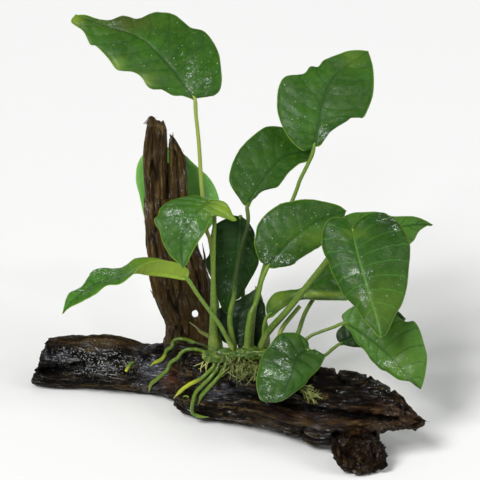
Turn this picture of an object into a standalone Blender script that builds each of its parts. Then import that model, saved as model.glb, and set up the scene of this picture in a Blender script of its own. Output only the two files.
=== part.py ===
"""An anubias with fifteen leaves, rooted on a forked piece of driftwood.

Places are read on a drawing sheet that leans back by SHEET_LEAN and faces the viewer. A place is
(across, down, out) in millimetres: across from the sheet's left edge, down from its top edge, and
out of the sheet towards the viewer. The finished part is in metres, +Z up, and rests on z = 0.
"""

import math
from dataclasses import dataclass

import bmesh
import bpy
from mathutils import Vector, noise
from mathutils.bvhtree import BVHTree

MM = 0.001
SHEET_LEAN = math.radians(22.0)
SHEET_MIDDLE = 120.0
VIEWER_AWAY = 1000.0
REST_ACROSS = 107.5
REST_DOWN = 209.5
REST_BEHIND = 8.0

GAP = 0.3
BLADE_THICK = 0.8
BLADE_ROWS = 12
BLADE_HALF_COLUMNS = 2
STALK_SIDES = 6
ROOT_SIDES = 6
ROOT_RADIUS = 1.05
WOOD_SIDES = 16
RHIZOME_DOWN = 176.0
STALK_LEAN = 0.25

OUT_DIRECTION = Vector((0.0, -math.cos(SHEET_LEAN), math.sin(SHEET_LEAN)))
UP_DIRECTION = Vector((0.0, math.sin(SHEET_LEAN), math.cos(SHEET_LEAN)))
REST_UP = SHEET_MIDDLE - REST_DOWN
REST_SHIFT = Vector((SHEET_MIDDLE - REST_ACROSS, -REST_BEHIND, 0.0)) - REST_UP * UP_DIRECTION

DARK_WOOD = ("dark_wood", (0.020, 0.014, 0.010), 0.45)
BROWN_WOOD = ("brown_wood", (0.060, 0.035, 0.020), 0.55)
BLADE_GREEN = ("blade_green", (0.060, 0.190, 0.035), 0.32)
BLADE_DARK = ("blade_dark", (0.020, 0.075, 0.018), 0.35)
STALK_GREEN = ("stalk_green", (0.190, 0.330, 0.060), 0.40)
ROOT_GREEN = ("root_green", (0.300, 0.430, 0.070), 0.45)


def place(across, down, out):
    """A place on the sheet as a point of the part, in millimetres."""
    shrink = 1.0 - out / VIEWER_AWAY
    level = Vector(((across - SHEET_MIDDLE) * shrink, 0.0, 0.0))
    rise = UP_DIRECTION * ((SHEET_MIDDLE - down) * shrink)
    return level + rise + OUT_DIRECTION * out + REST_SHIFT


def between(start, end, share):
    return tuple(a + (b - a) * share for a, b in zip(start, end))


def distance(start, end):
    return math.sqrt(sum((a - b) ** 2 for a, b in zip(start, end)))


def smooth_path(points, count):
    """The curve through the points, as this many places evenly spaced along it."""
    ends = [between(points[1], points[0], 2.0), between(points[-2], points[-1], 2.0)]
    guide = [ends[0], *points, ends[1]]
    fine = []
    for before, start, end, after in zip(guide, guide[1:], guide[2:], guide[3:]):
        steps = 12
        for step in range(steps):
            t = step / steps
            fine.append(
                tuple(
                    0.5
                    * (
                        2 * b
                        + (c - a) * t
                        + (2 * a - 5 * b + 4 * c - d) * t * t
                        + (3 * b - a - 3 * c + d) * t**3
                    )
                    for a, b, c, d in zip(before, start, end, after)
                )
            )
    fine.append(tuple(points[-1]))
    return even_path(fine, count)


def even_path(fine, count):
    """The same line with this many places evenly spaced along it."""
    lengths = [0.0]
    for start, end in zip(fine, fine[1:]):
        lengths.append(lengths[-1] + distance(start, end))
    even = []
    at = 0
    for index in range(count):
        wanted = lengths[-1] * index / (count - 1)
        while at < len(lengths) - 2 and lengths[at + 1] < wanted:
            at += 1
        span = max(lengths[at + 1] - lengths[at], 1e-9)
        even.append(between(fine[at], fine[at + 1], (wanted - lengths[at]) / span))
    return even


def clear_scene():
    for obj in list(bpy.data.objects):
        bpy.data.objects.remove(obj, do_unlink=True)


def finish_material(name, colour, roughness):
    """The named material, made the first time that it is asked for."""
    material = bpy.data.materials.get(name)
    if material is None:
        material = bpy.data.materials.new(name)
        material.use_nodes = True
        shader = material.node_tree.nodes["Principled BSDF"]
        shader.inputs["Base Color"].default_value = (*colour, 1.0)
        shader.inputs["Roughness"].default_value = roughness
        shader.inputs["Metallic"].default_value = 0.0
    return material


def solid(name, points, faces, finish=None):
    """A closed mesh object from points in millimetres. Without a finish it is a hidden helper."""
    mesh = bpy.data.meshes.new(name)
    mesh.from_pydata([point * MM for point in points], [], faces)
    shaped = bmesh.new()
    shaped.from_mesh(mesh)
    bmesh.ops.remove_doubles(shaped, verts=shaped.verts, dist=1e-6)
    bmesh.ops.triangulate(shaped, faces=shaped.faces)
    bmesh.ops.recalc_face_normals(shaped, faces=shaped.faces)
    if shaped.calc_volume(signed=True) < 0.0:
        bmesh.ops.reverse_faces(shaped, faces=shaped.faces)
    shaped.to_mesh(mesh)
    shaped.free()
    mesh.shade_smooth()
    obj = bpy.data.objects.new(name, mesh)
    bpy.context.scene.collection.objects.link(obj)
    if finish:
        mesh.materials.append(finish_material(*finish))
    else:
        hide(obj)
    return obj


def hide(obj):
    obj.hide_render = True
    obj.display_type = "WIRE"


def settle(obj):
    """Makes the object's modifiers part of its mesh and keeps only its largest piece."""
    bpy.context.view_layer.update()
    graph = bpy.context.evaluated_depsgraph_get()
    mesh = bpy.data.meshes.new_from_object(obj.evaluated_get(graph))
    obj.modifiers.clear()
    obj.data = mesh
    shaped = bmesh.new()
    shaped.from_mesh(mesh)
    bmesh.ops.remove_doubles(shaped, verts=shaped.verts, dist=2e-6)
    bmesh.ops.triangulate(shaped, faces=shaped.faces)
    chips = sorted(islands(shaped), key=len)[:-1]
    loose = [vertex for chip in chips for vertex in chip]
    bmesh.ops.delete(shaped, geom=loose, context="VERTS")
    shaped.to_mesh(mesh)
    shaped.free()
    return obj


def islands(shaped):
    """The sets of vertices that faces join."""
    left = set(shaped.verts)
    found = []
    while left:
        island = set()
        front = [left.pop()]
        while front:
            vertex = front.pop()
            island.add(vertex)
            for edge in vertex.link_edges:
                other = edge.other_vert(vertex)
                if other in left:
                    left.remove(other)
                    front.append(other)
        found.append(island)
    return found


def combine(obj, helper, operation):
    """Adds a Boolean of the helper to the object."""
    modifier = obj.modifiers.new(operation.lower(), "BOOLEAN")
    modifier.operation = operation
    modifier.object = helper
    modifier.solver = "EXACT"


def grown(obj, by):
    """A hidden copy of the object, larger all round by this many millimetres."""
    mesh = obj.data.copy()
    shaped = bmesh.new()
    shaped.from_mesh(mesh)
    shaped.normal_update()
    moves = [vertex.normal * vertex.calc_shell_factor() for vertex in shaped.verts]
    for vertex, move in zip(shaped.verts, moves):
        reach = min(move.length, 1.6)
        vertex.co += move.normalized() * reach * by * MM
    shaped.to_mesh(mesh)
    shaped.free()
    helper = bpy.data.objects.new(obj.name + "_clearance", mesh)
    bpy.context.scene.collection.objects.link(helper)
    hide(helper)
    return helper


def ring_faces(rings, sides):
    """Faces between rings of points, with a fan to a middle point at each end."""
    faces = []
    for ring in range(rings - 1):
        for side in range(sides):
            a = ring * sides + side
            b = ring * sides + (side + 1) % sides
            faces.append((a, b, b + sides, a + sides))
    start, end = rings * sides, rings * sides + 1
    last = (rings - 1) * sides
    for side in range(sides):
        after = (side + 1) % sides
        faces.append((after, side, start))
        faces.append((last + side, last + after, end))
    return faces


def route(path, step=5.0):
    """Points of the part along a smooth line through places on the sheet."""
    length = sum(distance(a, b) for a, b in zip(path, path[1:]))
    return [place(*at) for at in smooth_path(path, max(4, round(length / step) + 1))]


def tube(name, middle, radii, sides, finish):
    """A round solid along a line of points. Its radius runs evenly through the radii given."""
    count = len(middle)
    stops = len(radii) - 1
    points = []
    across = OUT_DIRECTION.cross(middle[1] - middle[0]).normalized()
    for index, centre in enumerate(middle):
        ahead = middle[min(index + 1, count - 1)] - middle[max(index - 1, 0)]
        ahead.normalize()
        across = (across - ahead * across.dot(ahead)).normalized()
        other = ahead.cross(across)
        at = index / (count - 1) * stops
        low = min(int(at), stops - 1)
        radius = radii[low] + (radii[low + 1] - radii[low]) * (at - low)
        for side in range(sides):
            turn = 2 * math.pi * side / sides
            points.append(centre + (across * math.cos(turn) + other * math.sin(turn)) * radius)
    points.extend((middle[0], middle[-1]))
    return solid(name, points, ring_faces(count, sides), finish)


@dataclass
class Slice:
    """One cross-section of a branch, between two edge places of the sheet.

    Its middle is this far out of the sheet, and it is this deep towards the viewer.
    """

    first: tuple
    second: tuple
    out: float
    depth: float

    def numbers(self):
        return (*self.first, *self.second, self.out, self.depth)


def branch(name, slices, rings, seed, boxy=2.6, rough=0.05, ragged=(0.0, 0.0), finish=None):
    """A length of wood through its slices, with its ends torn by the ragged lengths.

    Its section is round at a boxy value of 2 and squarer above that. Rough is how uneven it is.
    """
    stations = smooth_path([each.numbers() for each in slices], rings)
    sides = WOOD_SIDES
    points = []
    for index, (a1, d1, a2, d2, out, depth) in enumerate(stations):
        along = index / (rings - 1) * 4.0
        for side in range(sides):
            turn = 2 * math.pi * side / sides
            wide = math.copysign(abs(math.cos(turn)) ** (2 / boxy), math.cos(turn))
            deep = math.copysign(abs(math.sin(turn)) ** (2 / boxy), math.sin(turn))
            at = Vector((math.cos(turn) * 2.2, math.sin(turn) * 2.2, along * 0.6 + seed))
            swell = 1.0 + rough * noise.noise(at) + rough * 0.8 * noise.noise(at * 2.3)
            across = (a1 + a2) / 2 + (a1 - a2) / 2 * wide * swell
            down = (d1 + d2) / 2 + (d1 - d2) / 2 * wide * swell
            points.append(place(across, down, out + depth / 2 * deep * swell))
    first_middle = sum(points[:sides], Vector()) / sides
    last_middle = sum(points[-sides:], Vector()) / sides
    start = first_middle - sum(points[sides : 2 * sides], Vector()) / sides
    end = last_middle - sum(points[-2 * sides : -sides], Vector()) / sides
    tear(points, range(sides), start.normalized() * ragged[0], seed)
    tear(points, range(len(points) - sides, len(points)), end.normalized() * ragged[1], seed)
    points.extend((first_middle, last_middle))
    for point in points:
        point.z = max(point.z, 0.0)
    return solid(name, points, ring_faces(rings, sides), finish)


def tear(points, chosen, reach, seed):
    """Moves the chosen points unevenly along the reach, as at a broken end."""
    for order, index in enumerate(chosen):
        points[index] += reach * noise.noise(Vector((order * 0.9, seed, 3.7)))


@dataclass
class Blade:
    """The outline and lean of one leaf blade.

    The base is where the stalk meets it. The blade leans by `lean` millimetres out for each one
    across and down from the base, unless a place holds its own lift out from the base. Its halves
    rise out by `fold` for each millimetre from the midrib, and its middle stands out by `arch`.
    """

    tip: tuple
    midrib: list
    left: list
    right: list
    lean: tuple = (0.0, 0.3)
    fold: float = 0.1
    arch: float = 2.0
    wave: float = 0.5
    lag: float = 1.4
    base: tuple = None

    def on_sheet(self, at):
        across, down = at[:2]
        lift = self.lean[0] * (across - self.base[0]) + self.lean[1] * (down - self.base[1])
        return (across, down, self.base[2] + (at[2] if len(at) == 3 else lift))

    def rails(self, rows):
        """The left margin, the midrib and the right margin, each with this many places."""
        end = self.on_sheet(self.tip)
        lines = []
        for middle in (self.left, self.midrib, self.right):
            lines.append([self.base, *(self.on_sheet(at) for at in middle), end])
        spine = smooth_path(lines[1], 60)
        lagging = [spine_at(spine, (row / (rows - 1)) ** self.lag) for row in range(rows)]
        return smooth_path(lines[0], rows), lagging, smooth_path(lines[2], rows)

    def surface(self, rows, columns):
        """Rows of places from base to tip, each from the left margin over the midrib to the right."""
        left, middle, right = self.rails(rows)
        grid = []
        for row in range(1, rows - 1):
            share = row / (rows - 1)
            lift = self.arch * math.sin(math.pi * share)
            line = []
            for column in range(-columns, columns + 1):
                away = abs(column) / columns
                side = left[row] if column < 0 else right[row]
                across, down, out = between(middle[row], side, away)
                from_rib = distance(middle[row][:2], side[:2]) * away
                ripple = math.sin(share * 17.0 + math.copysign(1.3, column))
                out += self.fold * from_rib + lift * (1 - away * away)
                out += self.wave * away**3 * ripple
                line.append((across, down, out))
            grid.append(line)
        return grid


def spine_at(spine, share):
    """The place at this share of the way along a line of places."""
    at = share * (len(spine) - 1)
    low = min(int(at), len(spine) - 2)
    return between(spine[low], spine[low + 1], at - low)


def blade_solid(name, blade, thick, finish):
    """A thin closed leaf, of this thickness at its midrib and a little thinner at its margin."""
    grid = [[place(*at) for at in line] for line in blade.surface(BLADE_ROWS, BLADE_HALF_COLUMNS)]
    rows, width = len(grid), len(grid[0])
    base, tip = place(*blade.base), place(*blade.on_sheet(blade.tip))
    half = []
    for row, line in enumerate(grid):
        for column in range(width):
            below = grid[row - 1][column] if row else base
            above = grid[row + 1][column] if row < rows - 1 else tip
            before = line[max(column - 1, 0)]
            after = line[min(column + 1, width - 1)]
            away = abs(column - width // 2) / (width // 2)
            normal = (above - below).cross(after - before).normalized()
            half.append(normal * thick / 2 * (1.0 - 0.3 * away))
    half.extend((half[width // 2], half[-1 - width // 2]))
    middle = [at for line in grid for at in line] + [base, tip]
    points = [at + step for at, step in zip(middle, half)]
    points.extend(at - step for at, step in zip(middle, half))
    return solid(name, points, blade_faces(rows, width, len(middle)), finish)


def blade_faces(rows, width, size):
    """Faces of a blade's front and back, each of `size` points, and of the rim between them."""
    faces = []
    for first in (0, size):
        base, tip = first + size - 2, first + size - 1
        for row in range(rows - 1):
            for column in range(width - 1):
                a = first + row * width + column
                faces.append((a, a + 1, a + 1 + width, a + width))
        last = first + (rows - 1) * width
        for column in range(width - 1):
            faces.append((base, first + column + 1, first + column))
            faces.append((tip, last + column, last + column + 1))
    for edge in (0, width - 1):
        rim = [size - 2, *(row * width + edge for row in range(rows)), size - 1]
        for start, end in zip(rim, rim[1:]):
            faces.append((start, end, end + size, start + size))
    return faces


@dataclass
class Leaf:
    """A blade on a stalk.

    The stalk's places rise from the rhizome. STALK_LEAN brings each one further out the higher it
    is, on top of its own out value. The blade starts at the last of them, and the solid stalk stops
    short of it by `short`.
    """

    name: str
    blade: Blade
    stalk: list
    radii: tuple = (1.3, 1.0, 0.9)
    finish: tuple = BLADE_GREEN
    short: float = 1.2

    def __post_init__(self):
        self.stalk = [
            (across, down, out + STALK_LEAN * (RHIZOME_DOWN - down))
            for across, down, out in self.stalk
        ]
        self.blade.base = self.stalk[-1]


def top_left_leaf():
    blade = Blade(
        tip=(37.5, 7.2),
        midrib=[(90.3, 40), (84, 32), (76.5, 24.3), (71, 19.8), (61.3, 15.5), (49, 12)],
        left=[
            (102.5, 48.6), (107, 47.8), (110, 45), (111, 40), (110.5, 33.5), (109.5, 26.8),
            (106.5, 20.5), (101.8, 15.3), (95.5, 13.5), (91, 10), (87.3, 7.3), (82.5, 6),
            (76.5, 6), (69, 9), (61.3, 7.5), (54.5, 9.8), (47.5, 8.8), (43, 7.4),
        ],
        right=[
            (92, 48.0), (86.5, 47.8), (81, 45), (76.5, 44.8), (73.5, 43), (70.5, 38.3),
            (66.5, 36), (61.3, 35.5), (58, 34.5), (53.5, 28.5), (48, 23), (45, 22),
            (41.5, 15.5), (35.5, 11),
        ],
        lean=(-0.10, 0.45),
        arch=3.0,
        fold=0.06,
    )
    stalk = [
        (104.8, 176, 13), (105.8, 168, 11), (106.5, 135, 8.5), (105, 120, 6.2),
        (103, 114, 4.8), (101, 95.5, 1), (99.5, 72.5, -1), (98, 57.5, -2), (97.5, 49.4, -2.5),
    ]
    return Leaf("leaf_top_left", blade, stalk, (1.4, 1.05, 1.0, 0.9))


def top_right_leaf():
    blade = Blade(
        tip=(184.3, 25.5),
        midrib=[(159.3, 62), (161.8, 50), (168, 37.5)],
        left=[
            (153, 75.5), (150, 74.5), (145.2, 70), (142, 65), (139.5, 59), (138.5, 53.5),
            (139, 44.5), (142.5, 38), (151.5, 36.8), (155, 33), (159, 33.3), (161.5, 30.3),
            (166, 28.3), (173.5, 25.5), (180.5, 25),
        ],
        right=[
            (160, 72.5), (163, 69), (166, 65.5), (173, 61), (176.5, 58.5), (181.5, 58.8),
            (184.5, 53.5), (186.5, 47.5), (187, 40.5), (186.5, 33), (185, 27.5),
        ],
        lean=(0.10, 0.35),
        arch=2.5,
    )
    stalk = [
        (125, 176, 15), (126, 165, 12), (128, 150, 9.5), (135, 125, 4.5), (146.5, 99.5, -5),
        (150, 90, -4), (152.5, 85, -3), (156, 77.5, -1), (157, 73, 0),
    ]
    return Leaf("leaf_top_right", blade, stalk, (1.4, 1.1, 1.0, 0.95))


def middle_leaf():
    blade = Blade(
        tip=(157.5, 75.5),
        midrib=[(131, 90), (140, 80), (149, 76.2)],
        left=[
            (122, 103), (119.3, 99), (115.5, 93), (114.5, 89), (115.5, 83.5), (117, 79.5),
            (119.8, 74.5), (124.5, 69.5), (130, 65), (134.5, 63), (140.5, 63.5), (148, 66),
            (154, 71),
        ],
        right=[
            (124.5, 102), (130, 97), (135, 94.8), (138.8, 93.5), (141, 91), (143.5, 87.5),
            (146.5, 84.5), (150, 81.8), (153.5, 80.8), (156.5, 79),
        ],
        lean=(-0.05, 0.40),
        lag=1.2,
    )
    stalk = [
        (117.3, 176, 16), (116, 168.5, 16), (115, 162.5, 14.8), (115.2, 155.5, 13.5),
        (117, 148, 12), (117.3, 142.5, 11), (119, 131.5, 9), (121, 122, 7.5), (124, 111, 5),
        (123.5, 103, 3),
    ]
    return Leaf("leaf_middle", blade, stalk, (1.6, 1.25, 0.95, 0.9))


def folded_leaf():
    """Its lobe right of the stalk is turned over and stands out sideways."""
    blade = Blade(
        tip=(91.5, 134.5),
        midrib=[(100.5, 104), (95, 110.5), (90.5, 120)],
        left=[
            (99.5, 97.5), (95.5, 97.7), (89.5, 99), (85.5, 100), (82, 102), (79.5, 104.8),
            (79, 107.5), (77, 109.8), (78, 113), (79.5, 115), (80.8, 120), (82.5, 123.8),
            (85.5, 128.5), (88.5, 130.8),
        ],
        right=[
            (105.5, 99.6), (111.5, 100.5), (114.5, 103), (116.5, 107), (118.3, 109.8),
            (115.5, 110.4), (111.5, 108.6), (107.8, 107.9), (105.6, 109), (104, 112), (102.5, 116),
            (98.5, 122), (95.5, 127.5), (93.7, 131.5),
        ],
        lean=(0.10, 0.38),
        arch=1.5,
        wave=0.2,
        lag=2.2,
    )
    stalk = [
        (107.5, 176, 16.5), (106.9, 167.5, 17), (106.7, 142.5, 15.5), (107, 120, 12),
        (107.2, 109, 8.5), (105.8, 103.5, 7.8), (104.5, 101, 9),
    ]
    return Leaf("leaf_folded", blade, stalk, (2.6, 1.7, 1.1, 1.05, 1.0))


def far_left_leaf():
    """A narrow blade, seen almost edge-on, whose near half rolls up by the stalk."""
    blade = Blade(
        tip=(31, 156.8, 4),
        midrib=[
            (84, 137.6, 1), (74, 136.6, 2), (67.5, 136, 2), (58, 138.3, 0.5), (48, 142, 0.5),
            (38.5, 148.5, 2),
        ],
        left=[
            (91.5, 136, -4.5), (86, 131.6, -8.5), (80, 129.2, -10.5), (73.5, 128.4, -10.5),
            (67.5, 129, -10), (63.5, 132, -9.5), (58, 134, -8.5), (50.5, 133.6, -8.5),
            (46, 135.3, -7.5), (43.5, 139, -5.5), (40.5, 143, -3.5), (35, 146, -1.5),
            (33, 149, 0), (32, 153, 1.5),
        ],
        right=[
            (94.5, 137.6, 1.5), (94, 134.4, 4.5), (88.5, 131.4, 7.5), (82.5, 130, 9),
            (76.5, 130.6, 9.5), (70.5, 132.8, 9.5), (67, 136.5, 9.5), (64, 139.2, 9.5),
            (59.5, 142, 9), (53.5, 142.4, 8.5), (47.5, 147, 8), (41.5, 150.3, 7), (35, 153.4, 5.5),
        ],
        fold=0.0,
        arch=-1.0,
        wave=0.2,
        lag=1.0,
    )
    stalk = [
        (117, 176, 21), (114.5, 171, 21.3), (112.5, 167, 21.2), (109, 161, 20.8),
        (104.5, 155, 20), (98.7, 147, 19.2), (93.2, 139, 18.2),
    ]
    return Leaf("leaf_far_left", blade, stalk, (1.2, 1.0, 0.95), short=1.6)


def centre_leaf():
    blade = Blade(
        tip=(173.5, 105.5),
        midrib=[(140, 126), (148, 118), (160, 110)],
        left=[
            (130.5, 131.5), (129, 129), (127.8, 125.5), (127, 121), (127.8, 117.5), (128.5, 113),
            (131.3, 108.5), (134.5, 105.5), (138.3, 103), (141, 101.5), (146.5, 100.5),
            (152, 99.5), (160.5, 100.5), (169, 102.4),
        ],
        right=[
            (137, 134.2), (140, 133.7), (144.5, 133.3), (147.5, 132), (149, 130.3), (157.3, 125),
            (160, 123.5), (166, 118), (171, 111),
        ],
        lean=(0.0, 0.20),
        arch=3.0,
        lag=1.3,
    )
    stalk = [
        (123.7, 176, 19.5), (123.6, 173.5, 19.3), (124, 165.5, 18.8), (124.7, 161, 18.5),
        (125.5, 156.5, 18), (127.5, 152.5, 17), (129.5, 146.5, 16), (131, 140, 14.8),
        (134, 133, 13.3),
    ]
    return Leaf("leaf_centre", blade, stalk, (1.6, 1.5, 1.05, 1.0))


def hanging_leaf():
    blade = Blade(
        tip=(112.7, 157),
        midrib=[(119.5, 118), (118, 132), (114.5, 147)],
        left=[
            (116.5, 107.6), (112.7, 109.5), (109, 111.5), (106.5, 113.5), (105.5, 116.5),
            (105, 122), (104.5, 127), (103, 129.7), (103, 133), (104, 136), (105.5, 139),
            (108, 147), (110.5, 153),
        ],
        right=[
            (123, 110), (125, 112), (127.5, 116.5), (127.5, 120), (128, 125.5), (129.5, 130.5),
            (128.5, 134), (127, 137), (124.5, 141.3), (123.3, 143.5), (120, 149), (117.5, 150.5),
            (114.5, 154),
        ],
        lean=(0.0, -0.15),
        arch=0.5,
        fold=-0.05,
    )
    stalk = [
        (120.8, 176, 13.5), (119.9, 171.5, 7), (119.8, 167, 3), (120.5, 160, 0), (121.5, 150, -1),
        (121.3, 130, -3), (120.5, 115, -2), (120, 108, 1),
    ]
    return Leaf("leaf_hanging", blade, stalk, (1.2, 1.0, 0.9), BLADE_DARK, 2.4)


def heart_leaf():
    blade = Blade(
        tip=(190.6, 169),
        midrib=[(178.5, 126), (183, 142), (188, 158)],
        left=[
            (175.3, 113), (174, 111.3), (172.5, 109), (167.5, 108.3), (164, 110), (162, 113),
            (160.8, 117), (160.8, 123), (162, 127), (163.5, 130), (165.8, 136.5), (169, 142.5),
            (171, 146.5), (173.8, 150), (177.5, 154), (181, 159.3), (185, 163.5), (188, 167.4),
        ],
        right=[
            (177, 113), (178.3, 110.7), (181.5, 108), (186, 106.3), (190, 106), (193, 106.5),
            (198.2, 110), (200.5, 112.5), (203.3, 117), (205, 121.5), (205.3, 127), (204.5, 134.5),
            (204, 140), (203.3, 145), (201.3, 151.5), (199.5, 155), (197, 159), (193.7, 166.5),
        ],
        lean=(0.05, 0.30),
        arch=3.5,
        fold=-0.05,
    )
    stalk = [
        (130.5, 176, 22), (131, 172.5, 22), (134, 166, 23), (143, 156, 24.5), (151.5, 145.5, 26),
        (157.5, 138, 27), (163, 131, 27.3), (170, 121, 27.3), (176, 115, 30),
    ]
    return Leaf("leaf_heart", blade, stalk, (1.8, 1.6, 1.5, 1.2), short=2.2)


def right_back_leaf():
    blade = Blade(
        tip=(216.5, 112.5),
        midrib=[(180, 120), (196, 114.5), (207, 112.5)],
        left=[
            (165, 123), (165.5, 116), (169, 110), (174, 107), (178, 105.9), (183.5, 105.8),
            (190, 106), (196.5, 107.6), (204, 107.8), (209, 108.5), (213.5, 110.5),
        ],
        right=[
            (173, 131), (184, 134), (196, 130), (205, 122), (207.5, 119.5), (209.7, 115.6),
            (214, 112.8),
        ],
        lean=(-0.05, 0.45),
        arch=2.0,
    )
    stalk = [
        (143, 178.5, 27), (149, 166.5, 18), (151, 160.5, 14.5), (153, 155.5, 11.5),
        (156, 150.5, 7.5), (163, 138, -2), (168, 127, -7),
    ]
    return Leaf("leaf_right_back", blade, stalk, (1.2, 1.1, 1.0, 0.95))


def level_leaf():
    """Held nearly level, so it is seen edge-on."""
    blade = Blade(
        tip=(180, 138),
        midrib=[(143, 150.8), (156.5, 142.5), (165, 137.5), (173, 136)],
        left=[
            (132.8, 155), (133, 153), (134, 150.3), (137, 146.8), (140, 145.5), (143.3, 144.8),
            (149.5, 144.2), (154, 141), (157.5, 138.2), (163, 131.8), (169, 131), (176, 133.5),
        ],
        right=[
            (135.8, 158.2), (138, 156.6), (145, 152.2), (152, 149.8), (160, 150), (168, 150.2),
            (174, 149.8), (181, 145),
        ],
        lean=(0.20, 0.55),
        arch=1.0,
        fold=0.05,
        lag=1.1,
    )
    stalk = [
        (131, 176.5, 19), (131, 174, 18), (131.7, 167, 17), (132, 163, 16.8),
        (133.5, 158.3, 16.8),
    ]
    return Leaf("leaf_level", blade, stalk, (0.9, 0.8))


def low_front_leaf():
    blade = Blade(
        tip=(133, 201),
        midrib=[(148.5, 178), (145.5, 188), (140.5, 197)],
        left=[
            (154.8, 172.8), (153.5, 169.8), (150, 167), (145.3, 166), (140.5, 166.5), (137.5, 169),
            (134.5, 172.8), (131.5, 176.5), (130, 181), (128.5, 187.5), (128, 192), (128.8, 195.8),
            (130, 199.5),
        ],
        right=[
            (156, 175.4), (158.3, 175), (162.5, 177.5), (161.5, 181), (159, 185), (155, 189),
            (153, 192), (148.5, 195.5), (143, 199.5), (138.5, 201.3),
        ],
        lean=(-0.10, 0.48),
        arch=2.5,
        fold=-0.03,
    )
    stalk = [(146, 180, 31), (149.5, 177, 34.5), (152, 175.5, 37.5), (154.3, 174.8, 41)]
    return Leaf("leaf_low_front", blade, stalk, (1.2, 0.95))


def low_right_leaf():
    blade = Blade(
        tip=(210.3, 194.8),
        midrib=[(181, 166.5), (192, 175.5), (203, 187)],
        left=[
            (170.8, 159.5), (171.5, 156.8), (178, 152.6), (188, 152), (196, 156), (202.5, 160.5),
            (207, 160.5), (210, 165), (212, 171.5), (213.5, 178), (213, 185), (211.5, 192),
        ],
        right=[
            (173, 163), (175, 166), (178, 171.5), (182.5, 175.5), (185.3, 180), (187.8, 182.5),
            (190.5, 185), (193.5, 186), (198.5, 189.5), (202, 190.5), (204.5, 191), (207.3, 193),
        ],
        lean=(0.05, 0.22),
        arch=2.0,
        lag=1.2,
    )
    stalk = [
        (147.8, 180.2, 29.3), (150, 174, 27), (154.5, 168.5, 26.5), (160, 166, 27), (167, 163.5, 28.2),
        (172.3, 161.3, 29.8),
    ]
    return Leaf("leaf_low_right", blade, stalk, (1.0, 0.8, 0.75))


def low_back_leaf():
    blade = Blade(
        tip=(203, 159.5),
        midrib=[(184, 166), (194, 161.5)],
        left=[
            (169, 170.9), (168, 168.3), (168.7, 165.3), (171.5, 162.3), (175, 157),
            (181, 153.5), (190, 152.3), (198, 154.8),
        ],
        right=[(176, 173.5), (184, 174), (191, 173), (198, 168)],
        lean=(0.0, 0.40),
        arch=1.5,
    )
    stalk = [
        (150.3, 181.6, 27.5), (157, 180.6, 25.5), (163, 177.3, 23.5), (166.5, 174.3, 22),
        (170.3, 171.6, 21),
    ]
    return Leaf("leaf_low_back", blade, stalk, (1.0, 0.8, 0.75), BLADE_DARK)


def inner_leaf():
    blade = Blade(
        tip=(127, 174),
        midrib=[(126.5, 153), (126, 164)],
        left=[
            (124, 146.8, -1.8), (119, 150, -5), (113, 152.3, -6.8), (108.5, 155, -7.5),
            (107.3, 159.5, -7), (108, 164.5, -6), (109.8, 168.5, -4.2), (112.4, 171.3, -2),
            (117, 171.9, 0.2), (122, 172.9, 0.6),
        ],
        right=[
            (129.6, 146.5), (131, 149.5), (132.6, 152.5), (132.6, 157), (132.2, 163), (131.3, 169),
            (130, 173),
        ],
        lean=(0.0, -0.08),
        arch=1.0,
    )
    stalk = [
        (133.2, 175.5, 19.5), (134, 170, 10), (132.5, 160, 4), (130.5, 150, 2), (128.2, 144, 5),
    ]
    return Leaf("leaf_inner", blade, stalk, (1.1, 0.9), BLADE_DARK, 2.4)


def behind_post_leaf():
    blade = Blade(
        tip=(84, 73.5),
        midrib=[(90.5, 108), (89, 92), (86, 80)],
        left=[
            (83, 120), (76, 117), (73, 112), (69.8, 98), (68, 90), (69, 81.5), (73, 76),
            (79, 73.5),
        ],
        right=[
            (98, 119.5), (105.5, 113), (109.3, 104), (108.8, 97), (105, 89.5), (98, 83), (91, 76.5),
        ],
        lean=(0.0, -0.15),
        arch=-2.0,
    )
    stalk = [
        (110.5, 176, 12), (109.8, 167, 3), (109, 159, -10), (108.5, 151, -21),
        (105, 141, -30.5), (98, 130, -32.5), (91, 119, -33),
    ]
    return Leaf("leaf_behind_upright", blade, stalk, (1.1, 0.95, 0.9))


LEAVES = (
    top_left_leaf,
    top_right_leaf,
    middle_leaf,
    folded_leaf,
    far_left_leaf,
    centre_leaf,
    hanging_leaf,
    heart_leaf,
    right_back_leaf,
    level_leaf,
    low_front_leaf,
    low_right_leaf,
    low_back_leaf,
    inner_leaf,
    behind_post_leaf,
)


def left_arm():
    slices = [
        Slice((24, 169), (16, 191.5), -34.0, 21),
        Slice((31.5, 168), (23, 193.3), -34.5, 25),
        Slice((43, 168), (36, 193.2), -34.0, 27),
        Slice((56, 168.5), (48, 194), -33.0, 28),
        Slice((66, 170), (61, 195.3), -31.5, 28),
        Slice((74, 172.3), (72, 195.9), -29.5, 29),
        Slice((81, 171.8), (80, 197), -26.0, 31),
        Slice((88, 170), (88, 201), -18.0, 32),
        Slice((98, 170), (97, 206), -8.0, 32),
    ]
    return branch("driftwood_left_arm", slices, 16, 1.7, 2.8, 0.06, (5.0, 0.0), DARK_WOOD)


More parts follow.
